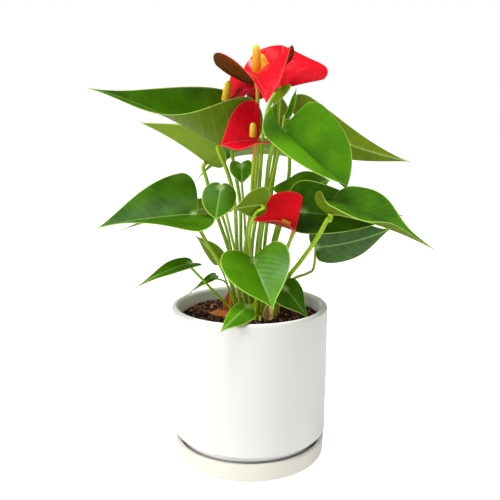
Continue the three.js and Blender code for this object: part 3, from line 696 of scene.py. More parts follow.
flowers = {
    "top": {
        "attach": (6, -22, 358), "tip": (13, -89, 337), "face": (0.05, -0.58, 0.81), "width": 86,
        "lobe": (31, 52), "fold": (39, 13), "curl": (0, 30), "droop": 71, "lift": (13, 32),
        "twist": -25, "sway": 46, "outline": (0.0, 0.02, 0.33), "spread": (0.74, 0.6),
        "toneAndPaintedLight": 0.8,
        "spadix": {"base": (6, -25, 365), "aim": (0.0, -0.22, 1.0), "radius": 4, "length": 23},
        # the underside takes the darkest colour: painted shade on the lobe that turns away from
        # the light
        "stalkFinish": "rustyFlowerStalk", "underToneAndPaintedLight": 0, "stalk": 1.8,
        "route": [
            (3, -4, 139), (-2, -10, 199), (4, -19, 252), (7, -25, 297), (7, -28, 330),
            (7, -27, 348),
        ],
    },
    "rear": {
        "attach": (27, 14, 356), "tip": (32, 39, 393), "face": (-0.11, -0.84, 0.53), "width": 93,
        "lobe": (12, 8), "fold": (-15, 25), "curl": (-50, -14), "droop": 34, "lift": (0, 28),
        "twist": 40, "sway": -2, "outline": (0.12, 0.02, 0.52), "spread": (0.54, 0.54),
        "toneAndPaintedLight": 0.62,
        "spadix": {"base": (18, 5, 362), "aim": (-0.39, -0.17, 1.0), "radius": 3.6, "length": 22},
        "stalkFinish": "greenFlowerStalk", "underToneAndPaintedLight": 0.9, "stalk": 1.8,
        "route": [(8, 9, 139), (2, 8, 195), (8, 0, 249), (12, 2, 305), (17, 8, 333)],
    },
    "left": {
        "attach": (-19, 30, 345), "tip": (6, 17, 353), "face": (0.0, -0.7, 0.71), "width": 51,
        "lobe": (1, 8), "fold": (12, 8), "curl": (-2, -10), "droop": 16, "twist": -11, "sway": -3,
        "outline": (0.02, 0.05, 0.43), "spread": (0.51, 0.51), "toneAndPaintedLight": 0.5,
        "spadix": {"base": (-23, 20, 341), "aim": (0.18, 0.0, 1.0), "radius": 3.9, "length": 19},
        "stalkFinish": "greenFlowerStalk", "underToneAndPaintedLight": 0.3, "stalk": 1.7,
        "route": [(-3, 5, 139), (-8, 7, 195), (-9, 8, 244), (-15, 10, 282), (-19, 10, 314)],
    },
    "middle": {
        "attach": (5, -46, 306), "tip": (-26, -48, 302), "face": (-0.0, -0.14, 0.99), "width": 77,
        "lobe": (12, 5), "fold": (2, 59), "curl": (11, -9), "droop": 13, "twist": -17, "sway": 3,
        "outline": (0.02, 0.18, 0.49), "spread": (0.6, 0.6), "toneAndPaintedLight": 0.6,
        "spadix": {"base": (3, -52, 310), "aim": (0.0, -0.44, 1.0), "radius": 3, "length": 12},
        "stalkFinish": "rustyFlowerStalk", "underToneAndPaintedLight": 0.3, "stalk": 1.7,
        "route": [(2, -9, 139), (-5, -20, 194), (1, -30, 244), (3, -38, 280)],
    },
    "low": {
        "attach": (40, -34, 228), "tip": (2, -34, 235), "face": (0.07, -0.3, 0.95), "width": 69,
        "lobe": (1, 2), "fold": (11, 41), "curl": (29, 11), "droop": 8, "lift": (21, 6),
        "twist": 12, "sway": 16, "outline": (0.21, 0.23, 0.61), "spread": (0.38, 0.66),
        "toneAndPaintedLight": 1.0,
        "spadix": {"base": (36, -35, 232), "aim": (-0.9, -0.05, 0.5), "radius": 1.6, "length": 8},
        "stalkFinish": "rustyFlowerStalk", "underToneAndPaintedLight": 0.3, "stalk": 1.6,
        "route": [(15, -12, 139), (26, -15, 183), (34, -24, 206)],
    },
}

sheathShape = {"outline": (0.3, 0.2, 0.4), "spread": (0.4, 0.4)}
sheaths = {
    "upright": {
        "attach": (-20, -9, 142), "tip": (-20, -10, 165), "face": (-0.4, -1, 0.2),
        "width": 12, "fold": (20, 20), "curl": (40, 40), "droop": -12, **sheathShape,
    },
    "fallen": {
        "attach": (-20, -17, 141), "tip": (-40, -14, 144), "face": (0, -0.4, 1),
        "width": 10, "curl": (20, 20), "droop": 10, **sheathShape,
    },
    "pale": {
        "attach": (17, -28, 142), "tip": (18, -28, 157), "face": (0, -1, 0.2),
        "width": 12, "fold": (20, 20), "curl": (40, 40), "droop": -8, "toneAndPaintedLight": 1, **sheathShape,
    },
}
# how the handles of the margin's curves lie, as shares of the half width or of their span
marginShape = {
    "tipDraw": 0.04, "tipCrowding": 1.4, "flank": 0.55, "lobeRound": 0.6, "lobeBack": 0.35,
    "notchDraw": 0.06,
}
midribSteps = 200
nearlyFlat = {"lift": 1e-4, "curl": 1e-6}  # stand for no bend, where a bend divides


def curvePoints(corners, share):
    a, b, c, d = (np.array(corner, float) for corner in corners)
    t = share[:, None]
    return (1 - t) ** 3 * a + 3 * (1 - t) ** 2 * t * b + 3 * (1 - t) * t * t * c + t**3 * d


def halfMargin(sheet, length, side, counts):
    # one half laid flat, from the tip round to the notch behind the stalk
    shape = marginShape
    widest, draw, shoulder = sheet["outline"]
    half = sheet["width"] / 2
    lobe = max(sheet["lobe"][side], 1)
    lobeY = half * sheet["spread"][side]
    wideX = length * widest
    tip = [(length, 0), (length * (1 - draw), half * shape["tipDraw"]),
           (wideX + length * shoulder, half), (wideX, half)]
    flank = [(wideX, half), (wideX - (wideX + lobe) * shape["flank"], half),
             (-lobe, lobeY + (half - lobeY) * shape["lobeRound"]), (-lobe, lobeY)]
    back = [(-lobe, lobeY), (-lobe, lobeY * shape["lobeBack"]),
            (-notch - (lobe - notch) * shape["lobeBack"], lobeY * shape["notchDraw"]), (-notch, 0)]
    shares = [np.linspace(0, 1, count + 1) for count in counts]
    shares[0] = shares[0] ** shape["tipCrowding"]
    pieces = [curvePoints(corners, share) for corners, share in zip((tip, flank, back), shares)]
    return np.vstack([pieces[0], pieces[1][1:], pieces[2][1:]])


def heading(down, left):
    return np.stack([np.cos(down) * np.cos(left), np.cos(down) * np.sin(left), -np.sin(down)], 1)


def midribPoints(sheet, length):
    # the midrib bends down by droop and to the left by sway along its length
    share = (np.arange(midribSteps) + 0.5) / midribSteps
    steps = heading(np.radians(sheet["droop"]) * share, np.radians(sheet["sway"]) * share)
    return np.vstack([np.zeros(3), np.cumsum(steps, 0)]) * length / midribSteps


def bendSheet(sheet, length, x, y, edge, turn, seed):
    left = y > 0

    def pick(key):
        return np.where(left, *sheet[key]).astype(float)

    share = np.clip(x / length, 0, 1)
    middle = midribPoints(sheet, length)
    knots = np.linspace(0, 1, midribSteps + 1)
    points = np.stack([np.interp(share, knots, middle[:, i]) for i in range(3)], 1)
    sway = np.radians(sheet["sway"]) * share
    reach = np.maximum(pick("lobe"), 1)
    lift = np.radians(pick("lift"))
    lift = np.where(np.abs(lift) < nearlyFlat["lift"], nearlyFlat["lift"], lift)
    rise = np.clip(-x, 0, None) / reach * lift
    zero = np.zeros_like(x)
    points += np.stack([-np.sin(rise) / lift * reach, zero, (1 - np.cos(rise)) / lift * reach], 1)
    across = np.stack([-np.sin(sway), np.cos(sway), zero], 1)
    up = np.cross(heading(np.radians(sheet["droop"]) * share, sway), across)
    up = np.where((x < 0)[:, None], np.stack([np.sin(rise), zero, np.cos(rise)], 1), up)
    twist = (np.radians(sheet["twist"]) * share)[:, None]
    across, up = (
        across * np.cos(twist) + up * np.sin(twist),
        up * np.cos(twist) - across * np.sin(twist),
    )
    fold = np.radians(pick("fold"))
    curl = np.radians(pick("curl")) / (sheet["width"] / 2)
    curl = np.where(np.abs(curl) < nearlyFlat["curl"], nearlyFlat["curl"], curl)
    out = np.abs(y)
    side = (np.sin(fold + curl * out) - np.sin(fold)) / curl * np.where(left, 1, -1)
    height = (np.cos(fold) - np.cos(fold + curl * out)) / curl
    ripple = np.sin(3 * turn + seed) + 0.5 * np.sin(7 * turn + 2.3 * seed)
    height = height + sheet["wave"] * edge**3 * ripple * np.clip(out / 8, 0, 1)
    return points + across * side[:, None] + up * height[:, None]


def sheetPlace(sheet):
    # how far the sheet is along its midrib, and the turn that lays its chord from attach to tip
    chord = np.array(sheet["tip"], float) - np.array(sheet["attach"], float)
    end = midribPoints(sheet, 1.0)[-1]
    length = np.linalg.norm(chord) / np.linalg.norm(end)
    end = end / np.linalg.norm(end)
    lift = np.array([0, 0, 1.0]) - end * end[2]
    lift /= np.linalg.norm(lift)
    local = np.stack([end, np.cross(lift, end), lift])
    x = chord / np.linalg.norm(chord)
    z = np.array(sheet["face"], float)
    z -= x * (z @ x)
    z /= np.linalg.norm(z)
    return length, np.stack([x, np.cross(z, x), z], 1) @ local


veinSettings = {
    "count": 9, "slant": 0.45, "sweep": 0.4, "fanStart": 60, "fanStep": 26,
    "blendStart": 0.1, "blendWidth": 0.25,
}


def veinPhase(x, y, length, half):
    # whole numbers on the side veins ahead of the stalk and on those that fan out behind it
    vein = veinSettings
    out = np.abs(y)
    ahead = (x - vein["slant"] * out - vein["sweep"] * out**2 / half) / (length / vein["count"])
    fan = (vein["fanStart"] - np.degrees(np.arctan2(out, x))) / vein["fanStep"]
    blend = (x + vein["blendStart"] * length) / (vein["blendWidth"] * length)
    blend = np.clip(blend, 0, 1)
    return np.where(ahead > 0, ahead, fan * (1 - blend) + ahead * blend)


def sheetNormals(points, faces):
    faces = np.array(faces)
    a, b, c = (points[faces[:, corner]] for corner in range(3))
    normals = np.zeros_like(points)
    for corner in range(3):
        np.add.at(normals, faces[:, corner], np.cross(b - a, c - a))
    return normals / np.maximum(np.linalg.norm(normals, axis=1), 1e-9)[:, None]


# The relief swells between the side veins and sinks along the midrib; distances in mm.
reliefShape = {"swell": 6, "channel": 1.6, "channelDepth": 0.8, "thinning": 0.35}


def sheetShell(sheet, thickness, detail, relief, seed):
    length, turn = sheetPlace(sheet)
    left, right = (halfMargin(sheet, length, side, detail["margin"]) for side in (0, 1))
    margin = np.vstack([left, right[::-1][1:-1] * (1, -1)])
    count, rings = len(margin), detail["rings"]
    around = np.linspace(0, 2 * math.pi, count, endpoint=False)
    share = np.sin(np.linspace(0, math.pi / 2, rings + 1))[1:] ** 0.9
    flat = np.vstack([[(0, 0)], *[margin * s for s in share]])
    flat[np.abs(flat) < 1e-9] = 0
    x, y = flat.T
    edge = np.concatenate([[0], np.repeat(share, count)])
    turnAround = np.concatenate([[0], np.tile(around, rings)])
    points = bendSheet(sheet, length, x, y, edge, turnAround, seed)
    faces = []
    for i in range(count):
        after = (i + 1) % count
        faces.append((0, 1 + i, 1 + after))
        for a in range(1, 1 + (rings - 1) * count, count):
            b = a + count
            faces += [(a + i, b + i, b + after), (a + i, b + after, a + after)]
    normals = sheetNormals(points, faces)
    phase = veinPhase(x, y, length, sheet["width"] / 2)
    away = 0.5 - np.abs(phase - np.floor(phase) - 0.5)
    out = np.abs(y)
    swell = np.clip(out / reliefShape["swell"], 0, 1) * (1 - edge**4)
    pillow = np.sqrt(np.clip(away * 2, 0, 1)) * swell
    channel = -np.exp(-((out / reliefShape["channel"]) ** 2)) * (x > -notch)
    swell = relief * (pillow + reliefShape["channelDepth"] * channel)
    points = points + normals * swell[:, None]
    half = thickness / 2 * (1 - reliefShape["thinning"] * edge**6)
    shell = np.vstack([points + normals * half[:, None], points - normals * half[:, None]])
    total = len(points)
    under = [(total + a, total + c, total + b) for a, b, c in faces]
    rim = []
    first = total - count
    for i in range(count):
        a, b = first + i, first + (i + 1) % count
        rim += [(a, total + a, total + b), (a, total + b, b)]
    reach = np.linalg.norm(margin, axis=1)
    rimAway = (1 - edge) * np.concatenate([reach[:1], np.tile(reach, rings)])
    return {
        "points": (np.array(sheet["attach"], float) + shell @ turn.T) * mm,
        "faces": faces + under + rim,
        "kinds": [0] * len(faces) + [1] * len(under) + [0] * len(rim),
        "smooth": [True] * (2 * len(faces)) + [False] * len(rim),
        "flat": np.tile(np.stack([x, y, rimAway], 1), (2, 1)),
        "vein": np.tile(phase, 2),
    }


def buildSheet(name, node, sheet, settings, seed):
    # upper and under side of one blade, spathe or sheath; one with its stalk isn't settled
    small = sheet["width"] <= smallWidth if "small" not in settings else settings["small"]
    detail = smallDetail if small else sheetDetail
    shell = sheetShell(sheet, settings["thickness"], detail, settings["relief"], seed)
    points = shell["points"] if "joined" in sheet else settle(shell["points"], node)
    mesh = plainMesh(name, points, shell["faces"])
    mesh.polygons.foreach_set("use_smooth", shell["smooth"])
    for finish in settings["finishes"]:
        mesh.materials.append(finishes[finish])
    mesh.polygons.foreach_set("material_index", shell["kinds"])
    # the brightness of each side, partly painted light and shade, is stored on its points
    tonesAndPaintedLight = (sheet["toneAndPaintedLight"], sheet.get("underToneAndPaintedLight", sheet["toneAndPaintedLight"]))
    values = {"vein": shell["vein"], "toneAndPaintedLight": np.repeat(tonesAndPaintedLight, len(points) // 2)}
    layer = mesh.attributes.new("flat", "FLOAT_VECTOR", "POINT")
    layer.data.foreach_set("vector", np.asarray(shell["flat"], np.float32).ravel())
    for key, numbers in values.items():
        layer = mesh.attributes.new(key, "FLOAT", "POINT")
        layer.data.foreach_set("value", np.asarray(numbers, np.float32))
    addPiece(name, mesh, node)


# Stalks: a tube along a path, wider where it leaves the mix and a little swollen at its neck

stalkSettings = {
    "Flare": 1.2, "Flare End": 0.16, "Swell": 1.14, "Neck Start": 0.95, "Sides": 14,
}
soilTop = 138.5
gap = 0.3
uprightFoot = 6  # every stalk leaves the mix straight up for this long
neckLength = 3  # and meets its blade square over this many of its own radii
pathSteps = 10


def stalkTree():
    group, get = nodeGroup("stalkTube", {
        "Radius": "Float", "Flare": "Float", "Flare End": "Float", "Swell": "Float",
        "Neck Start": "Float", "Sides": "Int", "Finish": "Material",
    })
    along = addNode(group, "GeometryNodeSplineParameter").outputs["Factor"]
    foot = step(group, along, 0.0, get["Flare End"], get["Flare"], 1.0)
    neck = step(group, along, get["Neck Start"], 0.985, 1.0, get["Swell"])
    size = times(group, times(group, foot, neck), get["Radius"])
    tube = tubeAlong(group, get["Geometry"], along, size, get["Sides"])
    return closeGroup(group, tube, get["Finish"])


stalkGroup = stalkTree()


def smoothPath(corners):
    # a Catmull-Rom curve through the corners
    ends = [2 * corners[0] - corners[1], *corners, 2 * corners[-1] - corners[-2]]
    path = []
    for i in range(len(corners) - 1):
        a, b, c, d = ends[i : i + 4]
        square, cube = 2 * a - 5 * b + 4 * c - d, 3 * b - a - 3 * c + d
        for t in np.arange(pathSteps) / pathSteps:
            path.append(0.5 * (2 * b + (c - a) * t + square * t**2 + cube * t**3))
    return np.array([*path, corners[-1]])


def buildStalk(name, sheet, finish, thickness, node):
    up = sheetPlace(sheet)[1][:, 2]
    (x, y, _), *route = sheet["route"]
    end = np.array(sheet["attach"], float)
    corners = [
        (x, y, soilTop + gap),
        (x, y, soilTop + gap + uprightFoot),
        *route,
        end - up * neckLength * sheet["stalk"],
        end - up * thickness / 2,
    ]
    path = smoothPath([np.array(corner, float) for corner in corners]) * mm
    data = bpy.data.curves.new(name, "CURVE")
    data.dimensions = "3D"
    spline = data.splines.new("POLY")
    spline.points.add(len(path) - 1)
    spline.points.foreach_set("co", np.hstack([path, np.ones((len(path), 1))]).ravel())
    source = addSource(name, data)
    values = {"Radius": sheet["stalk"] * mm, "Finish": finishes[finish]}
    addNodes(source, stalkGroup, stalkSettings | values)
    addPiece(name, bake(source, name), node)


# Leaves

leafSettings = {
    "thickness": 0.7, "relief": 0.12, "finishes": ("leafUpper", "leafUnder"), "slot": "leaf",
}


def buildLeaf(name, leaf, seed):
    sheet = {**sheetDefaults, **leaf}
    node = "leaf_" + name
    buildSheet("blade." + name, node, sheet, leafSettings, seed)
    stalkNode, slot = (node, "leaf") if "joined" in leaf else ("stalk_" + name, "leaf_stalk")
    thickness = leafSettings["thickness"]
    buildStalk("stalk." + name, sheet, "leafStalk", thickness, stalkNode)


for seed, (name, leaf) in enumerate(leaves.items()):
    buildLeaf(name, leaf, 1.7 * seed)
print("leaves made:", len(leaves))

# Flowers: a lacquered spathe, its stalk, and a spadix set with tiny florets that wind round it
# by the golden angle. floretArea is the radius times the length that takes all the florets.

flowerSettings = {
    "thickness": 0.9, "relief": 0.18, "finishes": ("spatheUpper", "spatheUnder"),
    "slot": "spathe", "small": False,
}
spadixSettings = {
    "florets": 420, "floretArea": 92, "floretRadius": 0.62, "sunk": 0.7, "steps": 32,
    "sides": 24, "taper": 0.35, "round": 0.14, "covered": 0.985, "turn": 137.508,
}


def spadixTree(settings):
    group, get = nodeGroup("spadix", {
        "Radius": "Float", "Length": "Float", "Florets": "Int", "Floret Radius": "Float",
        "Finish": "Material",
    })

    def taper(share):
        drop = times(group, calc(group, "POWER", share, 3.0), settings["taper"])
        body = calc(group, "SUBTRACT", 1.0, drop)
        end = calc(group, "DIVIDE", calc(group, "SUBTRACT", 1.0, share), settings["round"])
        end = calc(group, "POWER", end, 0.5)
        return times(group, body, calc(group, "MINIMUM", end, 1.0, clamp=True))

    line = addNode(group, "GeometryNodeCurvePrimitiveLine", {"End": join(group, z=get["Length"])})
    inputs = {"Curve": line.outputs[0], "Count": settings["steps"]}
    dense = addNode(group, "GeometryNodeResampleCurve", inputs).outputs[0]
    along = addNode(group, "GeometryNodeSplineParameter").outputs["Factor"]
    sunk = times(group, get["Floret Radius"], settings["sunk"])
    inner = calc(group, "SUBTRACT", get["Radius"], sunk)
    size = times(group, inner, taper(along))
    core = tubeAlong(group, dense, along, size, settings["sides"])
    index = addNode(group, "GeometryNodeInputIndex").outputs[0]
    share = calc(group, "DIVIDE", calc(group, "ADD", index, 0.5), get["Florets"])
    share = times(group, share, settings["covered"])
    angle = times(group, index, math.radians(settings["turn"]))
    reach = times(group, inner, taper(share))
    across, deep = (times(group, reach, calc(group, way, angle)) for way in ("COSINE", "SINE"))
    spot = join(group, across, deep, times(group, share, get["Length"]))
    inputs = {"Count": get["Florets"], "Position": spot}
    dots = addNode(group, "GeometryNodePoints", inputs).outputs[0]
    inputs = {"Radius": get["Floret Radius"], "Subdivisions": 1}
    bead = addNode(group, "GeometryNodeMeshIcoSphere", inputs).outputs[0]
    inputs = {"Points": storeAlong(group, dots, share), "Instance": bead}
    placed = addNode(group, "GeometryNodeInstanceOnPoints", inputs).outputs[0]
    both = addNode(group, "GeometryNodeJoinGeometry")
    for part in (core, realize(group, placed)):
        group.links.new(part, both.inputs[0])
    return closeGroup(group, both.outputs[0], get["Finish"])


spadixGroup = spadixTree(spadixSettings)


def buildSpadix(name, spadix, settings):
    piece = "spadix." + name
    source = addSource(piece, bpy.data.meshes.new(piece))
    share = spadix["radius"] * spadix["length"] / settings["floretArea"]
    addNodes(source, spadixGroup, {
        "Radius": spadix["radius"] * mm,
        "Length": spadix["length"] * mm,
        "Florets": round(settings["florets"] * share),
        "Floret Radius": settings["floretRadius"] * mm,
        "Finish": finishes["spadix"],
    })
    mesh = bake(source, piece)
    turn = Vector((0, 0, 1)).rotation_difference(Vector(spadix["aim"])).to_matrix().to_4x4()
    mesh.transform(Matrix.Translation(Vector(spadix["base"]) * mm) @ turn)
    addPiece(piece, mesh, "spadix_" + name)


def buildFlower(name, flower, seed):
    sheet = {**sheetDefaults, **flower}
    buildSheet("spathe." + name, "spathe_" + name, sheet, flowerSettings, seed)
    finish, thickness = flower["stalkFinish"], flowerSettings["thickness"]
    node = "flower_stalk_" + name
    buildStalk("flowerStalk." + name, sheet, finish, thickness, node)
    buildSpadix(name, flower["spadix"], spadixSettings)


for seed, (name, flower) in enumerate(flowers.items()):
    buildFlower(name, flower, 2.1 * seed + 0.6)
print("flowers made:", len(flowers))

sheathSettings = {
    "thickness": 0.5, "relief": 0.5, "finishes": ("sheath", "sheath"), "slot": "dry_sheath",
}
for seed, (name, sheath) in enumerate(sheaths.items()):
    sheet = {**sheetDefaults, **sheath}
    buildSheet("sheath." + name, "sheath_" + name, sheet, sheathSettings, seed)
print("sheaths made:", len(sheaths))

# Pot and saucer: turned profiles

turnedSegments = 160


def circle(radius, count):
    # the points of a level circle
    angles = np.linspace(0, 2 * math.pi, count, endpoint=False)
    return [(radius * math.cos(angle), radius * math.sin(angle)) for angle in angles]


def arc(r, z, radius, start, end, steps=8):
    turns = [math.radians(start + (end - start) * i / steps) for i in range(steps + 1)]
    return [(r + radius * math.cos(turn), z + radius * math.sin(turn)) for turn in turns]


def turned(name, profile, finish, node):
    # a profile of (radius, height) pairs turned about the upright axis; one that ends on the
    # axis at both ends is closed by its poles, any other runs round a hole
    segments = turnedSegments
    low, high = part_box(node)
    centre = (np.array(low) + np.array(high)) / 2
    closed = profile[0][0] == 0
    rings = profile[1:-1] if closed else profile
    points = [(x, y, z) for r, z in rings for x, y in circle(r, segments)]
    faces = []
    for k in range(len(rings) - closed):
        lower, upper = k * segments, (k + 1) % len(rings) * segments
        for i in range(segments):
            after = (i + 1) % segments
            faces.append((lower + i, lower + after, upper + after, upper + i))
    if closed:
        bottom = len(points)
        points += [(0, 0, profile[0][1]), (0, 0, profile[-1][1])]
        last = (len(rings) - 1) * segments
        for i in range(segments):
            after = (i + 1) % segments
            faces.append((bottom, after, i))
            faces.append((bottom + 1, last + i, last + after))
    points = np.array(points) * mm
    points[:, :2] += centre[:2]
    mesh = plainMesh(name, points, faces)
    mesh.materials.append(finishes[finish])
    addPiece(name, mesh, node)


pot = {
    "foot": 66, "footBottom": 5.3, "footWidth": 8, "floor": 8.3, "floorTop": 15.3, "drain": 6,
    "wallBottom": 24.5, "lower": 74, "lowerTop": 44.5, "radius": 75, "middle": 84.5,
    "rim": 149.5, "wall": 6.5, "bulge": 2, "bend": 6,
}
potInner = pot["radius"] - pot["wall"]
potLip = pot["wall"] / 2
footInner = pot["foot"] - pot["footWidth"]
bend, bulge = pot["bend"], pot["bulge"]
potProfile = [
    (pot["drain"], pot["floor"]),
    (footInner, pot["floor"]),
    (footInner, pot["footBottom"]),
    (pot["foot"] - 1, pot["footBottom"]),
    (pot["foot"], pot["footBottom"] + 1),
    (pot["foot"], pot["wallBottom"]),
    *arc(pot["lower"] - bulge, pot["wallBottom"] + bulge, bulge, -90, 0),
    (pot["lower"], pot["lowerTop"]),
    (pot["radius"], pot["middle"]),
    *arc(pot["radius"] - potLip, pot["rim"] - potLip, potLip, 0, 180, 16),
    (potInner, pot["middle"]),
    (potInner - 1, pot["floorTop"] + bend),
    *arc(potInner - 1 - bend, pot["floorTop"] + bend, bend, 0, -90),
    (pot["drain"], pot["floorTop"]),
]
turned("pot", potProfile, "glaze", "pot")

saucer = {"radius": 73.2, "height": 18.3, "floor": 5, "lip": 2, "edge": 4}
lip, edge = saucer["lip"], saucer["edge"]
saucerInner = saucer["radius"] - 2 * lip
saucerProfile = [
    (0, 0),
    *arc(saucer["radius"] - 1 - edge, edge, edge, -90, 0),
    *arc(saucer["radius"] - lip, saucer["height"] - lip, lip, 0, 180, 12),
    (saucerInner, saucer["floor"] + 2),
    (saucerInner - 2, saucer["floor"]),
    (0, saucer["floor"]),
]
turned("saucer", saucerProfile, "saucerGlaze", "saucer")
print("pot and saucer made")

# Potting mix: a rough mound strewn with crumbs, bark and pale grit

mixSettings = {
    "radius": 68.0, "bottom": 15.8, "corner": 8, "rough": 1.6, "rings": 70, "around": 200,
    "waves": (34, 13, 6, 3.2), "waveSeed": 5, "sunk": 1.2, "rimStart": 60, "rimDrop": 1.5,
    "margin": 2.5, "topDepth": 8,
}
strewnSettings = {
    "crumbs": {
        "count": 4200, "small": 0.7, "large": 2.5, "flat": 0.8, "seed": 3, "finish": "mix",
    },
    "bark": {
        "count": 900, "small": 1.2, "large": 3.1, "flat": 0.35, "seed": 8, "finish": "bark",
    },
    "grit": {
        "count": 500, "small": 0.5, "large": 1.4, "flat": 0.8, "seed": 13, "finish": "grit",
    },
}
wavesEach = 5


def ripples(points, waves, seed):
    # a sum of random plane waves, finer ones lower
    picker = np.random.default_rng(seed)
    height = np.zeros(len(points))
    for wave in waves:
        for _ in range(wavesEach):
            angle, shift = picker.uniform(0, 2 * math.pi, 2)
            along = points[:, 0] * math.cos(angle) + points[:, 1] * math.sin(angle)
            height += np.sin(along * 2 * math.pi / wave + shift) * wave / waves[0] / wavesEach
    return height


def buildMix(settings):
    rings, around, radius = settings["rings"], settings["around"], settings["radius"]
    corner, bottom = settings["corner"], settings["bottom"]
    shares = np.linspace(0, 1, rings + 1)[1:]
    disc = [(0, 0), *(point for share in shares for point in circle(radius * share, around))]
    disc = np.array(disc)
    away = np.linalg.norm(disc, axis=1)
    rough = settings["rough"] * ripples(disc, settings["waves"], settings["waveSeed"])
    heights = soilTop + rough - settings["sunk"]
    rim = np.clip((away - settings["rimStart"]) / (radius - settings["rimStart"]), 0, 1)
    heights -= settings["rimDrop"] * rim**2
    points = [(x, y, z) for (x, y), z in zip(disc, heights)]
    faces = []
    for i in range(around):
        after = (i + 1) % around
        faces.append((0, 1 + i, 1 + after))
        for a in range(1, 1 + (rings - 1) * around, around):
            b = a + around
            faces.append((a + i, b + i, b + after, a + after))
    edge = 1 + (rings - 1) * around
    foot = len(points)
    points += [(x, y, bottom + corner) for x, y in circle(radius, around)]
    points += [(x, y, bottom) for x, y in circle(radius - corner, around)]
    points.append((0, 0, bottom))
    for i in range(around):
        after = (i + 1) % around
        faces.append((edge + i, foot + i, foot + after, edge + after))
        faces.append((foot + i, foot + around + i, foot + around + after, foot + after))
        faces.append((foot + around + i, len(points) - 1, foot + around + after))
    mesh = plainMesh("pottingMix", np.array(points) * mm, faces)
    mesh.materials.append(finishes["mix"])
    return addPiece("pottingMix", mesh, "soil")


lumpSettings = {
    "noise": {"Scale": 1.3, "Detail": 1.0}, "push": 1.6, "faces": 20,
    "stretch": ((0.7, 0.6, 0.5), (1.5, 1.1, 0.9)), "turn": ((-0.9, -0.9, 0.0), (0.9, 0.9, 6.283)),
}


def strewTree(settings):
    group, get = nodeGroup("strewn", {
        "Density": "Float", "Small": "Float", "Large": "Float", "Flatness": "Float",
        "Seed": "Int", "Finish": "Material",
    })
    inputs = {"Mesh": get["Geometry"], "Density": get["Density"], "Seed": get["Seed"]}
    spread = addNode(group, "GeometryNodeDistributePointsOnFaces", inputs).outputs["Points"]
    inputs = {"Radius": 1.0, "Subdivisions": 1}
    lump = addNode(group, "GeometryNodeMeshIcoSphere", inputs).outputs[0]
    place = addNode(group, "GeometryNodeInputPosition").outputs[0]
    inputs = {"Vector": place, **settings["noise"]}
    rough = addNode(group, "ShaderNodeTexNoise", inputs, noise_dimensions="3D").outputs["Color"]
    push = vectorCalc(group, "SUBTRACT", rough, (0.5, 0.5, 0.5))
    inputs = {"Geometry": lump, "Offset": vectorCalc(group, "SCALE", push, settings["push"])}
    shaped = addNode(group, "GeometryNodeSetPosition", inputs).outputs[0]

    def drawn(kind, low, high, seedShift):
        # Random Value keeps its vector sockets first and its number sockets after them
        node = addNode(group, "FunctionNodeRandomValue", data_type=kind)
        first, output = (2, 1) if kind == "FLOAT" else (0, 0)
        feed(group, node.inputs[first], low)
        feed(group, node.inputs[first + 1], high)
        feed(group, node.inputs["Seed"], calc(group, "ADD", get["Seed"], seedShift))
        return node.outputs[output]

    size = drawn("FLOAT", get["Small"], get["Large"], 1)
    stretch = drawn("FLOAT_VECTOR", *settings["stretch"], 2)
    stretch = vectorCalc(group, "MULTIPLY", stretch, join(group, 1.0, 1.0, get["Flatness"]))
    scale = vectorCalc(group, "SCALE", stretch, size)
    turn = drawn("FLOAT_VECTOR", *settings["turn"], 3)
    inputs = {"Points": spread, "Instance": shaped, "Rotation": turn, "Scale": scale}
    placed = addNode(group, "GeometryNodeInstanceOnPoints", inputs).outputs[0]
    return closeGroup(group, placed, get["Finish"], smooth=False)


def topOf(mesh):
    # only the top of the mound is strewn
    points = np.array([v.co for v in mesh.vertices])
    reach = (mixSettings["radius"] - mixSettings["margin"]) * mm
    inside = np.linalg.norm(points[:, :2], axis=1) < reach
    keep = inside & (points[:, 2] > (soilTop - mixSettings["topDepth"]) * mm)
    number = np.cumsum(keep) - 1
    faces = [
        tuple(int(number[v]) for v in face.vertices)
        for face in mesh.polygons if all(keep[v] for v in face.vertices)
    ]
    return points[keep], faces


def strew(mound, name, settings, group):
    top = plainMesh(name, *topOf(mound.data))
    source = addSource(name, top)
    addNodes(source, group, {
        "Density": settings["count"] / sum(face.area for face in top.polygons),
        "Small": settings["small"] * mm,
        "Large": settings["large"] * mm,
        "Flatness": settings["flat"],
        "Seed": settings["seed"],
        "Finish": finishes[settings["finish"]],
    })
    mesh = bake(source, name)
    addPiece(name, mesh, "soil")
    print(name, "pieces strewn:", len(mesh.polygons) // lumpSettings["faces"])


mound = buildMix(mixSettings)
strewGroup = strewTree(lumpSettings)
for name, settings in strewnSettings.items():
    strew(mound, name, settings, strewGroup)

# Stage: a pale floor that runs to the horizon, and soft light from the upper left

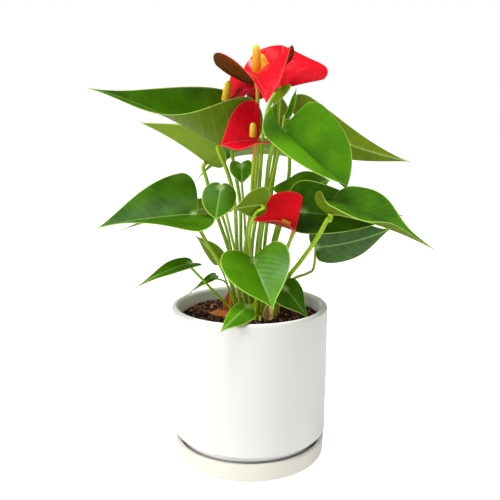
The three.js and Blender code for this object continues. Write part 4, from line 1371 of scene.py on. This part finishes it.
stageSettings = {
    "floor": 30.0,
    "lights": {
        "key": {"place": (-1.9, -1.0, 1.2), "size": 0.7, "power": 36, "mirrored": True},
        "fill": {"place": (1.6, -1.2, 0.7), "size": 1.0, "power": 1, "mirrored": False},
        "top": {"place": (-0.1, -0.4, 2.0), "size": 0.7, "power": 19, "mirrored": False},
        "glint": {"place": (-0.1, -0.4, 2.0), "size": 0.35, "power": 8, "mirrored": True},
    },
    "aim": (0, 0, 0.2), "sky": 0.56, "skyInGloss": 0.12,
    "floorColors": ((0.94, 0.94, 0.94), (0.96, 0.96, 0.96)), "floorSeen": (0.5, 0.2),
}


def floorFinish(settings):
    material, tree, shader = shaderTree("floor")
    grain = noise(tree, objectPlace(tree), 6, 2)
    color = mixColor(tree, grain, *settings["floorColors"])
    feed(tree, shader.inputs["Base Color"], color)
    feed(tree, shader.inputs["Emission Color"], color)
    seen = addNode(tree, "ShaderNodeLightPath").outputs["Is Camera Ray"]
    glow = calc(tree, "MULTIPLY_ADD", seen, *settings["floorSeen"])
    feed(tree, shader.inputs["Emission Strength"], glow)
    shader.inputs["Roughness"].default_value = 0.9
    shader.inputs["Specular IOR Level"].default_value = 0.1
    return material


def buildStage(settings):
    half = settings["floor"] / 2
    points = [(-half, -half, 0), (half, -half, 0), (half, half, 0), (-half, half, 0)]
    mesh = plainMesh("floor", points, [(0, 1, 2, 3)], smooth=False)
    mesh.materials.append(floorFinish(settings))
    floor = addSource("floor", mesh)
    for name, light in settings["lights"].items():
        data = bpy.data.lights.new(name, "AREA")
        data.size = light["size"]
        data.energy = light["power"]
        lamp = addSource(name, data)
        lamp.location = light["place"]
        lamp.visible_glossy = light["mirrored"]
        aim = Vector(settings["aim"]) - lamp.location
        lamp.rotation_euler = aim.to_track_quat("-Z", "Y").to_euler()
    world = bpy.data.worlds.new("studio")
    world.use_nodes = True
    scene.world = world
    tree = world.node_tree
    tree.nodes.clear()
    path = addNode(tree, "ShaderNodeLightPath").outputs
    dimming = times(tree, path["Is Glossy Ray"], 1 - settings["skyInGloss"])
    strength = times(tree, calc(tree, "SUBTRACT", 1.0, dimming), settings["sky"])
    sky, backdrop = (
        addNode(tree, "ShaderNodeBackground", {"Color": (1, 1, 1), "Strength": value}).outputs[0]
        for value in (strength, 1.0)
    )
    inputs = {0: path["Is Camera Ray"], 1: sky, 2: backdrop}
    both = addNode(tree, "ShaderNodeMixShader", inputs).outputs[0]
    addNode(tree, "ShaderNodeOutputWorld", {"Surface": both})


buildStage(stageSettings)
print("stage set")
